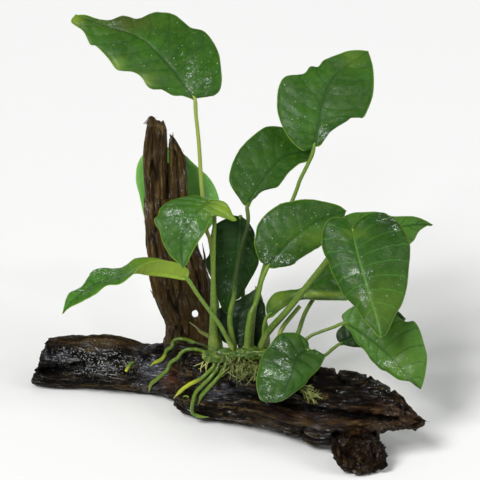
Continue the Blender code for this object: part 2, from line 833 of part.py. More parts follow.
def right_arm():
    slices = [
        Slice((91, 174), (87.5, 203), -6.0, 24),
        Slice((97, 173), (94, 207.5), -4.0, 32),
        Slice((107, 176), (106, 210), 0.0, 35),
        Slice((120, 178), (120, 210.8), 8.0, 34),
        Slice((134, 180), (133, 213), 18.0, 31),
        Slice((147, 182.5), (146, 217.5), 26.5, 29),
        Slice((159.5, 184.5), (158, 221.3), 34.5, 28),
        Slice((171, 185.8), (169, 221), 40.5, 28),
        Slice((184, 188.5), (183, 218), 44.0, 26),
        Slice((196, 194.5), (194, 215), 45.0, 23),
        Slice((202, 200.5), (202, 214), 45.0, 17),
        Slice((208.5, 207.8), (208.5, 214.4), 45.0, 10),
        Slice((213.5, 210.4), (213.5, 212.4), 45.0, 4),
    ]
    return branch("driftwood_right_arm", slices, 24, 5.1, 2.6, 0.06, (4.0, 0.0), BROWN_WOOD)


def upright():
    slices = [
        Slice((80, 182), (108, 182), -18.0, 18),
        Slice((81.5, 171), (106.8, 171), -18.5, 17),
        Slice((83, 162), (106, 162), -16.5, 15.5),
        Slice((79, 153), (105.6, 152), -14.2, 14.5),
        Slice((75.5, 143.8), (105.2, 140), -11.8, 13.5),
        Slice((74, 128), (100, 126), -8.2, 13),
        Slice((73, 114), (96, 112), -5.0, 12.5),
        Slice((72.5, 103), (94.3, 101), -2.4, 12),
        Slice((72.5, 99.8), (94, 99.8), -2.0, 12),
    ]
    return branch("driftwood_upright", slices, 16, 9.3, 3.0, 0.07, (0.0, 0.0), DARK_WOOD)


def left_prong():
    slices = [
        Slice((72.5, 99.4), (83.3, 99.4), -2.0, 11),
        Slice((71.8, 87.5), (83.4, 87.5), 1.0, 10),
        Slice((72.2, 75), (83.3, 75), 3.8, 9),
        Slice((72.8, 67), (83.3, 66), 5.7, 8),
        Slice((74, 59), (81.5, 61.5), 7.0, 6),
    ]
    return branch("driftwood_left_prong", slices, 8, 12.1, 2.8, 0.06, (0.0, 5.0), DARK_WOOD)


def right_prong():
    slices = [
        Slice((84.8, 99.4), (94, 99.4), -2.0, 10),
        Slice((84.8, 90), (93.5, 90), 0.5, 9),
        Slice((84.8, 78.5), (92.8, 78.5), 3.0, 8),
        Slice((84.8, 73), (89.6, 73), 4.3, 6),
        Slice((84.9, 67), (87.2, 68.5), 5.6, 3),
    ]
    return branch("driftwood_right_prong", slices, 9, 14.9, 2.6, 0.06, (0.0, 3.0), DARK_WOOD)


FOOT_OUTLINE = [
    (185, 217.5), (189.5, 221), (191, 224.5), (192.5, 230.5), (190, 234), (184, 234.4),
    (179.5, 236), (176, 235), (168.5, 231.5), (167, 226), (167.2, 221), (171, 216),
    (178, 214.5),
]
FOOT_MIDDLE = (179, 225.5)
FOOT_SLICES = (
    (37.0, 0.80, -9.0),
    (45.0, 0.96, -3.0),
    (50.5, 1.0, 0.0),
    (54.5, 0.95, 0.2),
    (57.5, 0.80, 0.5),
)


def foot():
    """The knob points down and at the viewer, so its slices lie in the sheet.

    A foot slice is how far out it lies, its size and how far down it is shifted.
    """
    sides = 16
    outline = smooth_path([*FOOT_OUTLINE, FOOT_OUTLINE[0]], sides + 1)[:sides]
    points = []
    for out, size, drop in FOOT_SLICES:
        for across, down in outline:
            wide = FOOT_MIDDLE[0] + (across - FOOT_MIDDLE[0]) * size
            low = FOOT_MIDDLE[1] + (down - FOOT_MIDDLE[1]) * size + drop
            points.append(place(wide, low, out))
    points.append(place(FOOT_MIDDLE[0], FOOT_MIDDLE[1] + FOOT_SLICES[0][2], FOOT_SLICES[0][0]))
    points.append(place(FOOT_MIDDLE[0], FOOT_MIDDLE[1] + 1.0, FOOT_SLICES[-1][0] - 2.0))
    for point in points:
        point.z = max(point.z, 0.0)
    return solid("driftwood_foot", points, ring_faces(len(FOOT_SLICES), sides), DARK_WOOD)


def carve_wood(left, right, post):
    """Cuts the long hollows of the arms and the small hole through the upright."""
    hollow_line = [(17.5, 186), (25, 185), (34, 184), (43, 181.5)]
    combine(left, sunk_tube("arm_hollow", left, hollow_line, (0.8, 3.0, 2.6, 0.6), 0.6), "DIFFERENCE")
    groove_line = [(146, 203), (158, 204.5), (172, 206.8), (186, 208.6), (199, 209.8)]
    groove = sunk_tube("arm_groove", right, groove_line, (0.5, 1.6, 1.9, 1.7, 0.8), 0.3)
    combine(right, groove, "DIFFERENCE")
    hole_line = [(97.6, 156.8, -30), (97.6, 156.8, -15), (97.6, 156.8, 0)]
    combine(post, tube("upright_hole", route(hole_line, 12), (2.1, 2.1), 10, None), "DIFFERENCE")


def sunk_tube(name, piece, line, radii, depth):
    """A hidden round cutter along a line of the sheet, its middle just below the surface."""
    tree = surface_tree(piece)
    fine = smooth_path(line, 9)
    path = [(*at, front_of([tree], *at) - depth) for at in fine]
    return tube(name, route(path, 5.0), radii, 8, None)


def driftwood():
    """The six pieces of wood, parted where the branches fork."""
    left, right, post, stub = left_arm(), right_arm(), upright(), foot()
    carve_wood(left, right, post)
    settle(right)
    around_right = grown(right, GAP)
    combine(left, around_right, "DIFFERENCE")
    settle(left)
    combine(post, around_right, "DIFFERENCE")
    combine(post, grown(left, GAP), "DIFFERENCE")
    settle(post)
    combine(stub, around_right, "DIFFERENCE")
    settle(stub)
    return [left, right, post, stub, left_prong(), right_prong()]


RHIZOME_PATH = [
    (102.2, 178.2, 13), (110, 177.5, 16.5), (118, 177.3, 18.5), (126, 177, 20.5), (134, 177.5, 23),
    (142, 179.5, 27), (149.5, 181.5, 30.5),
]


def rhizome(wood):
    """The thick green stem that creeps along the wood and carries the stalks."""
    swelling = (3.3, 3.9, 3.4, 3.7, 3.3, 3.4, 3.0)
    stem = tube("rhizome", route(RHIZOME_PATH, 4.0), swelling, 10, STALK_GREEN)
    for piece in wood[:3]:
        combine(stem, grown(piece, GAP), "DIFFERENCE")
    return settle(stem)


ROOT_PATHS = (
    [
        (103.6, 174.4), (101.5, 172.8), (98.5, 172), (94.5, 170.3), (90.7, 169.5), (87.8, 169.9),
        (86.4, 171.5), (86, 173.5), (83.5, 175), (82.3, 178), (80.3, 180), (77, 181.5),
        (75.2, 183.2),
    ],
    [
        (103, 177.3), (100.5, 175.3), (96, 174.6), (92.5, 175.2), (90.3, 177), (88.9, 179),
        (86, 180.8), (84.7, 182.5), (84, 184.8), (81.5, 187), (78, 190), (75.4, 192.2),
        (74.5, 196),
    ],
    [
        (107.5, 179), (107, 183), (104.3, 186), (101, 189), (98, 190.6), (94.5, 192.4),
        (90.7, 195.2), (87, 199),
    ],
    [
        (110, 180), (108.8, 184), (105, 189), (101.2, 192.8), (98, 196.2), (96.6, 200.5),
        (96, 204.5), (97, 207), (100.3, 208.3), (104.3, 208.6),
    ],
    [(113, 180), (112, 185), (108, 190), (104, 194.3), (100.8, 198), (99.2, 202)],
)
SHORT_ROOT = [(91.8, 198.2), (93, 198), (94.3, 198.5)]
LOOSE_ROOT = [(66.6, 181.1), (64.5, 183), (63, 185.5)]


def front_of(trees, across, down):
    """How far out the front of these surfaces is at a place of the sheet, or None."""
    start = place(across, down, 90.0) * MM
    aim = (place(across, down, 80.0) * MM - start).normalized()
    reached = []
    for tree in trees:
        hit = tree.ray_cast(start, aim)[0]
        if hit is not None:
            reached.append(90.0 - (hit - start).length / MM)
    return max(reached) if reached else None


def laid_on(trees, path, radius, step=2.5):
    """Points along the path, in front of the wood and just clear of it for a root this thick."""
    length = sum(distance(a, b) for a, b in zip(path, path[1:]))
    fine = smooth_path(path, max(4, round(length / step) + 1))
    outs = [front_of(trees, *at) for at in fine]
    lowest = min(out for out in outs if out is not None)
    outs = [lowest if out is None else out for out in outs]
    for index, at in enumerate(fine):
        while room_at(trees, place(*at, outs[index])) < radius + GAP + 0.35:
            outs[index] += 0.2
    for _ in range(3):
        raised = [max(b, (a + c) / 2) for a, b, c in zip(outs, outs[1:], outs[2:])]
        outs = [outs[0], *raised, outs[-1]]
    return [place(*at, out) for at, out in zip(fine, outs)]


def room_at(trees, point):
    """How far this point is from the nearest of the surfaces, in millimetres."""
    return min(tree.find_nearest(point * MM)[3] for tree in trees) / MM


def surface_tree(obj):
    shaped = bmesh.new()
    shaped.from_mesh(obj.data)
    tree = BVHTree.FromBMesh(shaped)
    shaped.free()
    return tree


def roots(wood, stem):
    """The thick roots that grip the wood, a short one and a broken-off end."""
    trees = [surface_tree(piece) for piece in wood]
    around_stem = grown(stem, GAP)
    made = []
    for number, path in enumerate(ROOT_PATHS, start=1):
        middle = laid_on(trees, path, ROOT_RADIUS)
        root = tube(f"root_{number}", middle, (1.0, 1.05, 1.05, 0.9), ROOT_SIDES, ROOT_GREEN)
        combine(root, around_stem, "DIFFERENCE")
        made.append(settle(root))
    middle = laid_on(trees, SHORT_ROOT, 0.7)
    made.append(tube("root_short", middle, (0.7, 0.6), ROOT_SIDES, ROOT_GREEN))
    middle = laid_on(trees, LOOSE_ROOT, ROOT_RADIUS)
    made.append(tube("root_loose_end", middle, (0.9, 0.8), ROOT_SIDES, ROOT_GREEN))
    return made


def tangle(name, middle, size, around):
    """A soft lump of fine roots that lies against what is around it."""
    rings, sides = 7, 12
    points = []
    for ring in range(1, rings):
        tilt = math.pi * ring / rings
        for side in range(sides):
            turn = 2 * math.pi * side / sides
            swell = 1.0 + 0.10 * noise.noise(Vector((turn * 1.4, tilt * 2.0, middle[0])))
            across = middle[0] + size[0] * math.sin(tilt) * math.cos(turn) * swell
            down = middle[1] - size[1] * math.cos(tilt) * swell
            points.append(place(across, down, middle[2] + size[2] * math.sin(tilt) * math.sin(turn)))
    points.append(place(middle[0], middle[1] - size[1], middle[2]))
    points.append(place(middle[0], middle[1] + size[1], middle[2]))
    lump = solid(name, points, ring_faces(rings - 1, sides), ROOT_GREEN)
    for piece in around:
        combine(lump, grown(piece, GAP), "DIFFERENCE")
    return settle(lump)


def leaf(shape, around_stem):
    """A blade, and its stalk cut off where it meets the rhizome and just short of the blade."""
    blade_solid(shape.name + "_blade", shape.blade, BLADE_THICK, shape.finish)
    middle = route(shape.stalk, 9.5)
    reach = middle[-1] - middle[-2]
    middle[-1] -= reach.normalized() * shape.short
    stalk = tube(shape.name + "_stalk", middle, shape.radii, STALK_SIDES, STALK_GREEN)
    combine(stalk, around_stem, "DIFFERENCE")
    settle(stalk)


def main():
    clear_scene()
    wood = driftwood()
    stem = rhizome(wood)
    thick_roots = roots(wood, stem)
    around_stem = grown(stem, GAP)
    for make in LEAVES:
        leaf(make(), around_stem)
    tangle("root_tangle_middle", (120.5, 187, 26), (9.5, 9.5, 6), [*wood[:3], stem, *thick_roots])
    tangle("root_tangle_right", (156, 198, 46), (5, 5, 2.6), [wood[1]])
    stub_path = [(138.5, 177.5, 24.5), (139.5, 170, 24.5), (141.5, 163.5, 25), (150, 153, 27.5)]
    stub = tube("stalk_stub", route(stub_path, 7.0), (1.3, 1.1), STALK_SIDES, STALK_GREEN)
    combine(stub, around_stem, "DIFFERENCE")
    settle(stub)
    spike_path = [(94.5, 161, 17), (98, 163.5, 18), (100.3, 166, 18.5), (103.4, 167.4, 19)]
    tube("bud_sheath", route(spike_path, 3.0), (0.2, 0.7, 1.2), STALK_SIDES, STALK_GREEN)


if __name__ == "__main__":
    main()
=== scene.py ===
"""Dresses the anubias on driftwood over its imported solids.

Places are read on the same drawing sheet as the solids. A place is (across, down, out) in
millimetres: across from the sheet's left edge, down from its top edge, and out of the sheet
towards the viewer. Meshes are in metres.
"""

import logging
import math
import random
from dataclasses import dataclass
from enum import Enum
from typing import Any

import bmesh
import bpy
from mathutils import Matrix, Vector, noise
from mathutils.bvhtree import BVHTree


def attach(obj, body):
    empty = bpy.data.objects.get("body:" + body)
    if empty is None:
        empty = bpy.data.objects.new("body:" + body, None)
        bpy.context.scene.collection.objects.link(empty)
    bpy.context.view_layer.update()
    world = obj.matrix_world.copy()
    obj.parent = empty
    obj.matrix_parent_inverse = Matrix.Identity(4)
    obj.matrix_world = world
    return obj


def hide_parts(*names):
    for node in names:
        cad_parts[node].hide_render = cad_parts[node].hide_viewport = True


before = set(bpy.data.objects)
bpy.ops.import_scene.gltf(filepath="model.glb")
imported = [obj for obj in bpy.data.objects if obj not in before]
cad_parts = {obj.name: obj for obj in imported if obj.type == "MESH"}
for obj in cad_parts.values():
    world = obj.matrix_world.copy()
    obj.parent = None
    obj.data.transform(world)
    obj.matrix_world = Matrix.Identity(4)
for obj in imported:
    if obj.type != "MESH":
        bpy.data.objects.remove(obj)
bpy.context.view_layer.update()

Place = tuple[float, ...]
Sockets = dict[Any, Any] | tuple[Any, ...]

LOG = logging.getLogger("anubias")
MM = 0.001

# Types and settings of the nodes that are used most.
MATH, RANGE, MIX = "ShaderNodeMath", "ShaderNodeMapRange", "ShaderNodeMix"
NOISE, STORED, COORDS = "ShaderNodeTexNoise", "ShaderNodeAttribute", "ShaderNodeTexCoord"
ADD, TAKE, TIMES = {"operation": "ADD"}, {"operation": "SUBTRACT"}, {"operation": "MULTIPLY"}
FOLD, LARGER = {"operation": "PINGPONG"}, {"operation": "MAXIMUM"}
SMOOTH = {"interpolation_type": "SMOOTHSTEP"}
COLOURS = {"data_type": "RGBA"}

# The drawing sheet: its lean, its middle, the viewer's distance and the place of the part's origin.
SHEET_LEAN = math.radians(22.0)
SHEET_MIDDLE = 120.0
VIEWER_AWAY = 1000.0
REST_ACROSS = 107.5
REST_DOWN = 209.5
REST_BEHIND = 8.0
RHIZOME_DOWN = 176.0
STALK_LEAN = 0.25

# How many points lines are drawn with.
CURVE_STEPS = 12
SPINE_POINTS = 240
STALK_ROWS = 40
STALK_POINTS = 64
GUIDE_POINTS = 120
SEARCH_STEP = 10

OUT = Vector((0.0, -math.cos(SHEET_LEAN), math.sin(SHEET_LEAN)))
UP = Vector((0.0, math.sin(SHEET_LEAN), math.cos(SHEET_LEAN)))
REST_SHIFT = Vector((SHEET_MIDDLE - REST_ACROSS, -REST_BEHIND, 0.0)) - (SHEET_MIDDLE - REST_DOWN) * UP


def place(at: Place) -> Vector:
    """Turns a place on the sheet into a point of the part.

    Args:
        at: Across, down and out, in millimetres.

    Returns:
        The point, in metres.
    """
    across, down, out = at
    shrink = 1.0 - out / VIEWER_AWAY
    level = Vector(((across - SHEET_MIDDLE) * shrink, 0.0, 0.0))
    return (level + UP * ((SHEET_MIDDLE - down) * shrink) + OUT * out + REST_SHIFT) * MM


def on_sheet(point: Vector) -> Place:
    """Reads a point of the part as a place on the sheet.

    Args:
        point: The point, in metres.

    Returns:
        Across, down and out, in millimetres.
    """
    local = point / MM - REST_SHIFT
    out = local.dot(OUT)
    shrink = 1.0 - out / VIEWER_AWAY
    return SHEET_MIDDLE + local.x / shrink, SHEET_MIDDLE - local.dot(UP) / shrink, out


def between(start: Place, end: Place, share: float) -> Place:
    """The place at this share of the straight way between two others."""
    return tuple(a + (b - a) * share for a, b in zip(start, end))


def distance(start: Place, end: Place) -> float:
    """How far apart two places are."""
    return math.sqrt(sum((a - b) ** 2 for a, b in zip(start, end)))


def ease(value: float, low: float, high: float) -> float:
    """Rises smoothly from 0 at low to 1 at high."""
    share = min(max((value - low) / (high - low), 0.0), 1.0)
    return share * share * (3.0 - 2.0 * share)


def even_path(fine: list[Place], count: int) -> list[Place]:
    """Spaces places evenly along a line.

    Args:
        fine: The line's places.
        count: How many places to return.

    Returns:
        The evenly spaced places, ends included.
    """
    lengths = [0.0]
    for start, end in zip(fine, fine[1:]):
        lengths.append(lengths[-1] + distance(start, end))
    even = []
    at = 0
    for index in range(count):
        wanted = lengths[-1] * index / (count - 1)
        while at < len(lengths) - 2 and lengths[at + 1] < wanted:
            at += 1
        span = max(lengths[at + 1] - lengths[at], 1e-9)
        even.append(between(fine[at], fine[at + 1], (wanted - lengths[at]) / span))
    return even


def smooth_path(points: list[Place], count: int) -> list[Place]:
    """Draws the curve through the points.

    Args:
        points: Places that the curve passes through.
        count: How many places to return.

    Returns:
        Places evenly spaced along the curve.
    """
    guide = [between(points[1], points[0], 2.0), *points, between(points[-2], points[-1], 2.0)]
    fine = []
    for before, start, end, after in zip(guide, guide[1:], guide[2:], guide[3:]):
        for step in range(CURVE_STEPS):
            t = step / CURVE_STEPS
            fine.append(
                tuple(
                    0.5
                    * (
                        2 * b
                        + (c - a) * t
                        + (2 * a - 5 * b + 4 * c - d) * t * t
                        + (3 * b - a - 3 * c + d) * t**3
                    )
                    for a, b, c, d in zip(before, start, end, after)
                )
            )
    fine.append(tuple(points[-1]))
    return even_path(fine, count)


def at_share(line: list[Any], share: float) -> Any:
    """Reads a list of evenly spaced places or numbers at a share of its length.

    Args:
        line: The places or numbers.
        share: How far along, from 0 to 1.

    Returns:
        The place or number there.
    """
    at = min(max(share, 0.0), 1.0) * (len(line) - 1)
    low = min(int(at), len(line) - 2)
    if isinstance(line[0], tuple):
        return between(line[low], line[low + 1], at - low)
    return line[low] + (line[low + 1] - line[low]) * (at - low)


def colour(code: str) -> tuple[float, float, float, float]:
    """Turns an sRGB hex code into the linear colour that a socket takes.

    Args:
        code: The code, such as #3f7a2e.

    Returns:
        Red, green, blue and alpha.
    """
    parts = [int(code[at : at + 2], 16) / 255 for at in (1, 3, 5)]
    linear = [c / 12.92 if c <= 0.04045 else ((c + 0.055) / 1.055) ** 2.4 for c in parts]
    return (*linear, 1.0)


def add_node(
    tree: bpy.types.NodeTree, kind: str, settings: dict[str, Any], links: Sockets, out: int | str = 0
) -> bpy.types.NodeSocket:
    """Adds a node to a tree.

    Args:
        tree: The tree of a material or of Geometry Nodes.
        kind: The node's type.
        settings: Its settings by name.
        links: The socket that feeds an input, or its value, by the input's name or number. Of a
            tuple the first goes into the first input, and so on.
        out: Which of its outputs to return, by name or number.

    Returns:
        That output's socket.
    """
    made = tree.nodes.new(kind)
    for name, value in settings.items():
        setattr(made, name, value)
    for key, value in links.items() if isinstance(links, dict) else enumerate(links):
        if isinstance(value, bpy.types.NodeSocket):
            tree.links.new(value, made.inputs[key])
        else:
            made.inputs[key].default_value = value
    return made.outputs[out]


class Shader:
    """One material with its node tree and its main shader."""

    def __init__(self, name: str, constants: dict[str, Any]) -> None:
        """Starts the material.

        Args:
            name: The material's name.
            constants: Values of the main shader's own sockets.
        """
        self.material = bpy.data.materials.new(name)
        self.material.use_nodes = True
        self.tree = self.material.node_tree
        self.surface = self.tree.nodes["Principled BSDF"]
        for key, value in constants.items():
            self.surface.inputs[key].default_value = value

    def add(
        self, kind: str, settings: dict[str, Any], links: Sockets, out: int | str = 0
    ) -> bpy.types.NodeSocket:
        """Adds a node to this material and returns its output."""
        return add_node(self.tree, kind, settings, links, out)

    def finish(
        self, base: Any, rough: Any, height: Any, depth: float, coat: Any = None
    ) -> bpy.types.Material:
        """Links colour, roughness, relief and the weight of the water's gloss to the surface.

        Args:
            base: The colour's socket.
            rough: The roughness socket.
            height: The socket of the relief's height, from 0 to 1.
            depth: How deep a height of 1 is, in metres.
            coat: The socket of how wet it is.

        Returns:
            The finished material.
        """
        bump = self.add("ShaderNodeBump", {}, {"Strength": 1.0, "Distance": depth, "Height": height})
        feeds = {"Base Color": base, "Roughness": rough, "Normal": bump, "Coat Normal": bump}
        if coat is not None:
            feeds["Coat Weight"] = coat
        for name, socket in feeds.items():
            self.tree.links.new(socket, self.surface.inputs[name])
        return self.material


@dataclass(frozen=True)
class LeafFinish:
    """A living leaf's waxy green skin, wet from spraying.

    To the eye it is a deep green sheet with finer, slightly paler veins, a yellow-green rim and
    underside, and a soft gloss broken into patches where the water lies. Thin pale lines paint
    highlights where it is wettest, and a dark green paints shade where the leaf lies in shadow.
    """

    name: str
    deep: str
    fresh: str
    vein: str
    under: str
    rim: str
    rib: str
    rough: tuple[float, float] = (0.28, 0.48)

    def material(self) -> bpy.types.Material:
        """Builds the node tree.

        Returns:
            The material. It reads the blade's own attributes and its map of veins.
        """
        shader = Shader(
            self.name,
            {
                "Coat Roughness": 0.08,
                "Specular IOR Level": 0.14,
                "Subsurface Weight": 0.06,
                "Subsurface Scale": 0.001,
                "Subsurface Radius": (0.6, 1.0, 0.25),
            },
        )
        spot = shader.add(COORDS, {}, {}, "Object")
        # Sizes are in millimetres. A leaf's own cells are about 0.05 mm across, too fine to show,
        # so patterns of 1 to 2.5 mm stand for them and for the film of water.
        noises = {}
        for name, size_mm, detail, twist in (
            ("broad", 18.18, 3.0, 0.0),
            ("fine", 2.381, 4.0, 0.0),
            ("film", 2.381, 3.0, 1.2),
            ("broken", 1.25, 4.0, 0.0),
            ("patchy", 7.692, 5.0, 0.0),
            ("blister", 1.538, 2.0, 0.0),
        ):
            links = {"Vector": spot, "Scale": 1.0 / (size_mm * MM), "Detail": detail, "Distortion": twist}
            noises[name] = shader.add(NOISE, {}, links)
        links = {"Vector": spot, "Scale": 1.0 / (1.111 * MM)}
        cells = shader.add("ShaderNodeTexVoronoi", {"feature": "DISTANCE_TO_EDGE"}, links)
        stored = {}
        for name in ("rib_mm", "rim_mm", "under", "tone", "pale", "shade", "brown", "wet"):
            stored[name] = shader.add(STORED, {"attribute_name": name}, {}, "Fac")

        # Side veins lie where the map's second number is whole, and minor ones five times as often.
        chart = shader.add("ShaderNodeUVMap", {"uv_map": "veins"}, {})
        number = shader.add("ShaderNodeSeparateXYZ", {}, (chart,), 1)
        sway = shader.add(RANGE, SMOOTH, (noises["fine"], 0.3, 0.7, -0.05, 0.05))
        wander = shader.add(MATH, ADD, (number, sway))
        away = shader.add(MATH, FOLD, (wander, 0.5))
        vein = shader.add(RANGE, SMOOTH, (away, 0.0, 0.09, 1.0, 0.0))
        often = shader.add(MATH, TIMES, (wander, 5.0))
        away = shader.add(MATH, FOLD, (often, 0.5))
        minor = shader.add(RANGE, SMOOTH, (away, 0.0, 0.22, 1.0, 0.0))
        rib = shader.add(RANGE, SMOOTH, (stored["rib_mm"], 0.25, 0.85, 0.55, 0.0))
        rim = shader.add(RANGE, SMOOTH, (stored["rim_mm"], 0.15, 0.75, 0.45, 0.0))

        cloud = shader.add(RANGE, SMOOTH, (noises["broad"], 0.3, 0.7, -0.15, 0.15))
        tone = shader.add(MATH, ADD, (stored["tone"], cloud))
        fresh = shader.add(RANGE, SMOOTH, (tone, 0.0, 1.0))
        speck = shader.add(RANGE, SMOOTH, (noises["fine"], 0.35, 0.75, 0.0, 0.10))
        lines = shader.add(MATH, TIMES, (vein, 0.4))
        below = shader.add(MIX, COLOURS, {0: lines, 6: colour(self.under), 7: colour(self.vein)}, 2)

        # Painted highlight: where the skin is wet, thin pale lines of colour stand for the water film's
        # highlights, broken into pieces. The same wet patches also lower the roughness and add coat.
        wet = shader.add(RANGE, SMOOTH, (stored["wet"], 0.10, 0.75))
        centred = shader.add(MATH, TAKE, (noises["film"], 0.5))
        highlight_line = shader.add(MATH, {"operation": "ABSOLUTE"}, (centred,))
        highlight_line = shader.add(RANGE, SMOOTH, (highlight_line, 0.004, 0.030, 1.0, 0.0))
        highlight_line = shader.add(MATH, TIMES, (wet, highlight_line))
        broken = shader.add(RANGE, SMOOTH, (noises["broken"], 0.44, 0.62, 0.0, 0.85))
        painted_highlight = shader.add(MATH, TIMES, (broken, highlight_line))
        faint = shader.add(MATH, TIMES, (minor, 0.18))
        clear = shader.add(MATH, TIMES, (vein, 0.6))
        skin = colour(self.deep)
        for share, over in (
            (fresh, colour(self.fresh)),
            (speck, colour(self.under)),
            (faint, colour(self.vein)),
            (clear, colour(self.vein)),
            (rib, colour(self.rib)),
            (stored["under"], below),
            # the underside's colour, which on the heart and low right leaves also paints a sheen
            (stored["pale"], colour(self.under)),
            (stored["shade"], colour("#0d1a0a")),
            (stored["brown"], colour("#4d4a1c")),
            (rim, colour(self.rim)),
            # painted highlight of the water film
            (painted_highlight, colour("#dce6e2")),
        ):
            skin = shader.add(MIX, COLOURS, {0: share, 6: skin, 7: over}, 2)

        links = (noises["patchy"], 0.36, 0.62, self.rough[0], self.rough[1])
        rough = shader.add(RANGE, SMOOTH, links)
        smoother = shader.add(MATH, TIMES, (wet, 0.12))
        rough = shader.add(MATH, TAKE, (rough, smoother))
        relief = shader.add(RANGE, SMOOTH, (cells, 0.0, 0.12, 0.0, 0.35))
        for name in ("fine", "blister"):
            relief = shader.add(MATH, ADD, (relief, noises[name]))
        sunk = shader.add(MATH, TIMES, (minor, 0.12))
        relief = shader.add(MATH, TAKE, (relief, sunk))
        coat = shader.add(RANGE, SMOOTH, (noises["patchy"], 0.42, 0.62, 0.0, 0.14))
        water = shader.add(MATH, TIMES, (wet, 0.5))
        coat = shader.add(MATH, ADD, (coat, water))
        return shader.finish(skin, rough, relief, 0.00010, coat)


@dataclass(frozen=True)
class StemFinish:
    """The smooth moist skin of stalks, creeping stem and roots.

    To the eye it is a juicy green that runs from a darker foot to a fresher end, with fine
    lengthwise streaks and a soft highlight along its length.
    """

    name: str
    foot: str
    middle: str
    end: str
    mark: str
    coat: float = 0.25
    rough: tuple[float, float] = (0.28, 0.48)

    def material(self) -> bpy.types.Material:
        """Builds the node tree.

        Returns:
            The material. It reads "along", from 0 to 1, and the shares of the mark's colour, "mark",
            and of the dark under other leaves, "shade".
        """
        shader = Shader(
            self.name,
            {
                "Coat Weight": self.coat,
                "Coat Roughness": 0.15,
                "Specular IOR Level": 0.25,
                "Subsurface Weight": 0.10,
                "Subsurface Scale": 0.001,
                "Subsurface Radius": (0.7, 1.0, 0.25),
            },
        )
        spot = shader.add(COORDS, {}, {}, "Object")
        # A cloud is 6.25 mm across. A real streak is about 0.2 mm wide, too fine to show, so it is
        # drawn 1.1 mm wide.
        broad = shader.add(NOISE, {}, {"Vector": spot, "Scale": 1.0 / (6.25 * MM), "Detail": 3.0})
        fine = shader.add(NOISE, {}, {"Vector": spot, "Scale": 1.0 / (1.111 * MM), "Detail": 4.0})
        stored = {}
        for name in ("along", "mark", "shade"):
            stored[name] = shader.add(STORED, {"attribute_name": name}, {}, "Fac")
        sway = shader.add(RANGE, SMOOTH, (broad, 0.3, 0.7, -0.12, 0.12))
        along = shader.add(MATH, ADD, (stored["along"], sway))
        risen = shader.add(RANGE, SMOOTH, (along, 0.0, 0.35))
        ending = shader.add(RANGE, SMOOTH, (along, 0.55, 1.0))
        streak = shader.add(RANGE, SMOOTH, (fine, 0.4, 0.75, 0.0, 0.35))
        skin = colour(self.foot)
        for share, over in (
            (risen, self.middle),
            (ending, self.end),
            (streak, self.mark),
            (stored["mark"], self.mark),
            (stored["shade"], "#16260b"),
        ):
            skin = shader.add(MIX, COLOURS, {0: share, 6: skin, 7: colour(over)}, 2)
        links = (broad, 0.35, 0.65, self.rough[0], self.rough[1])
        rough = shader.add(RANGE, SMOOTH, links)
        return shader.finish(skin, rough, fine, 0.00012)


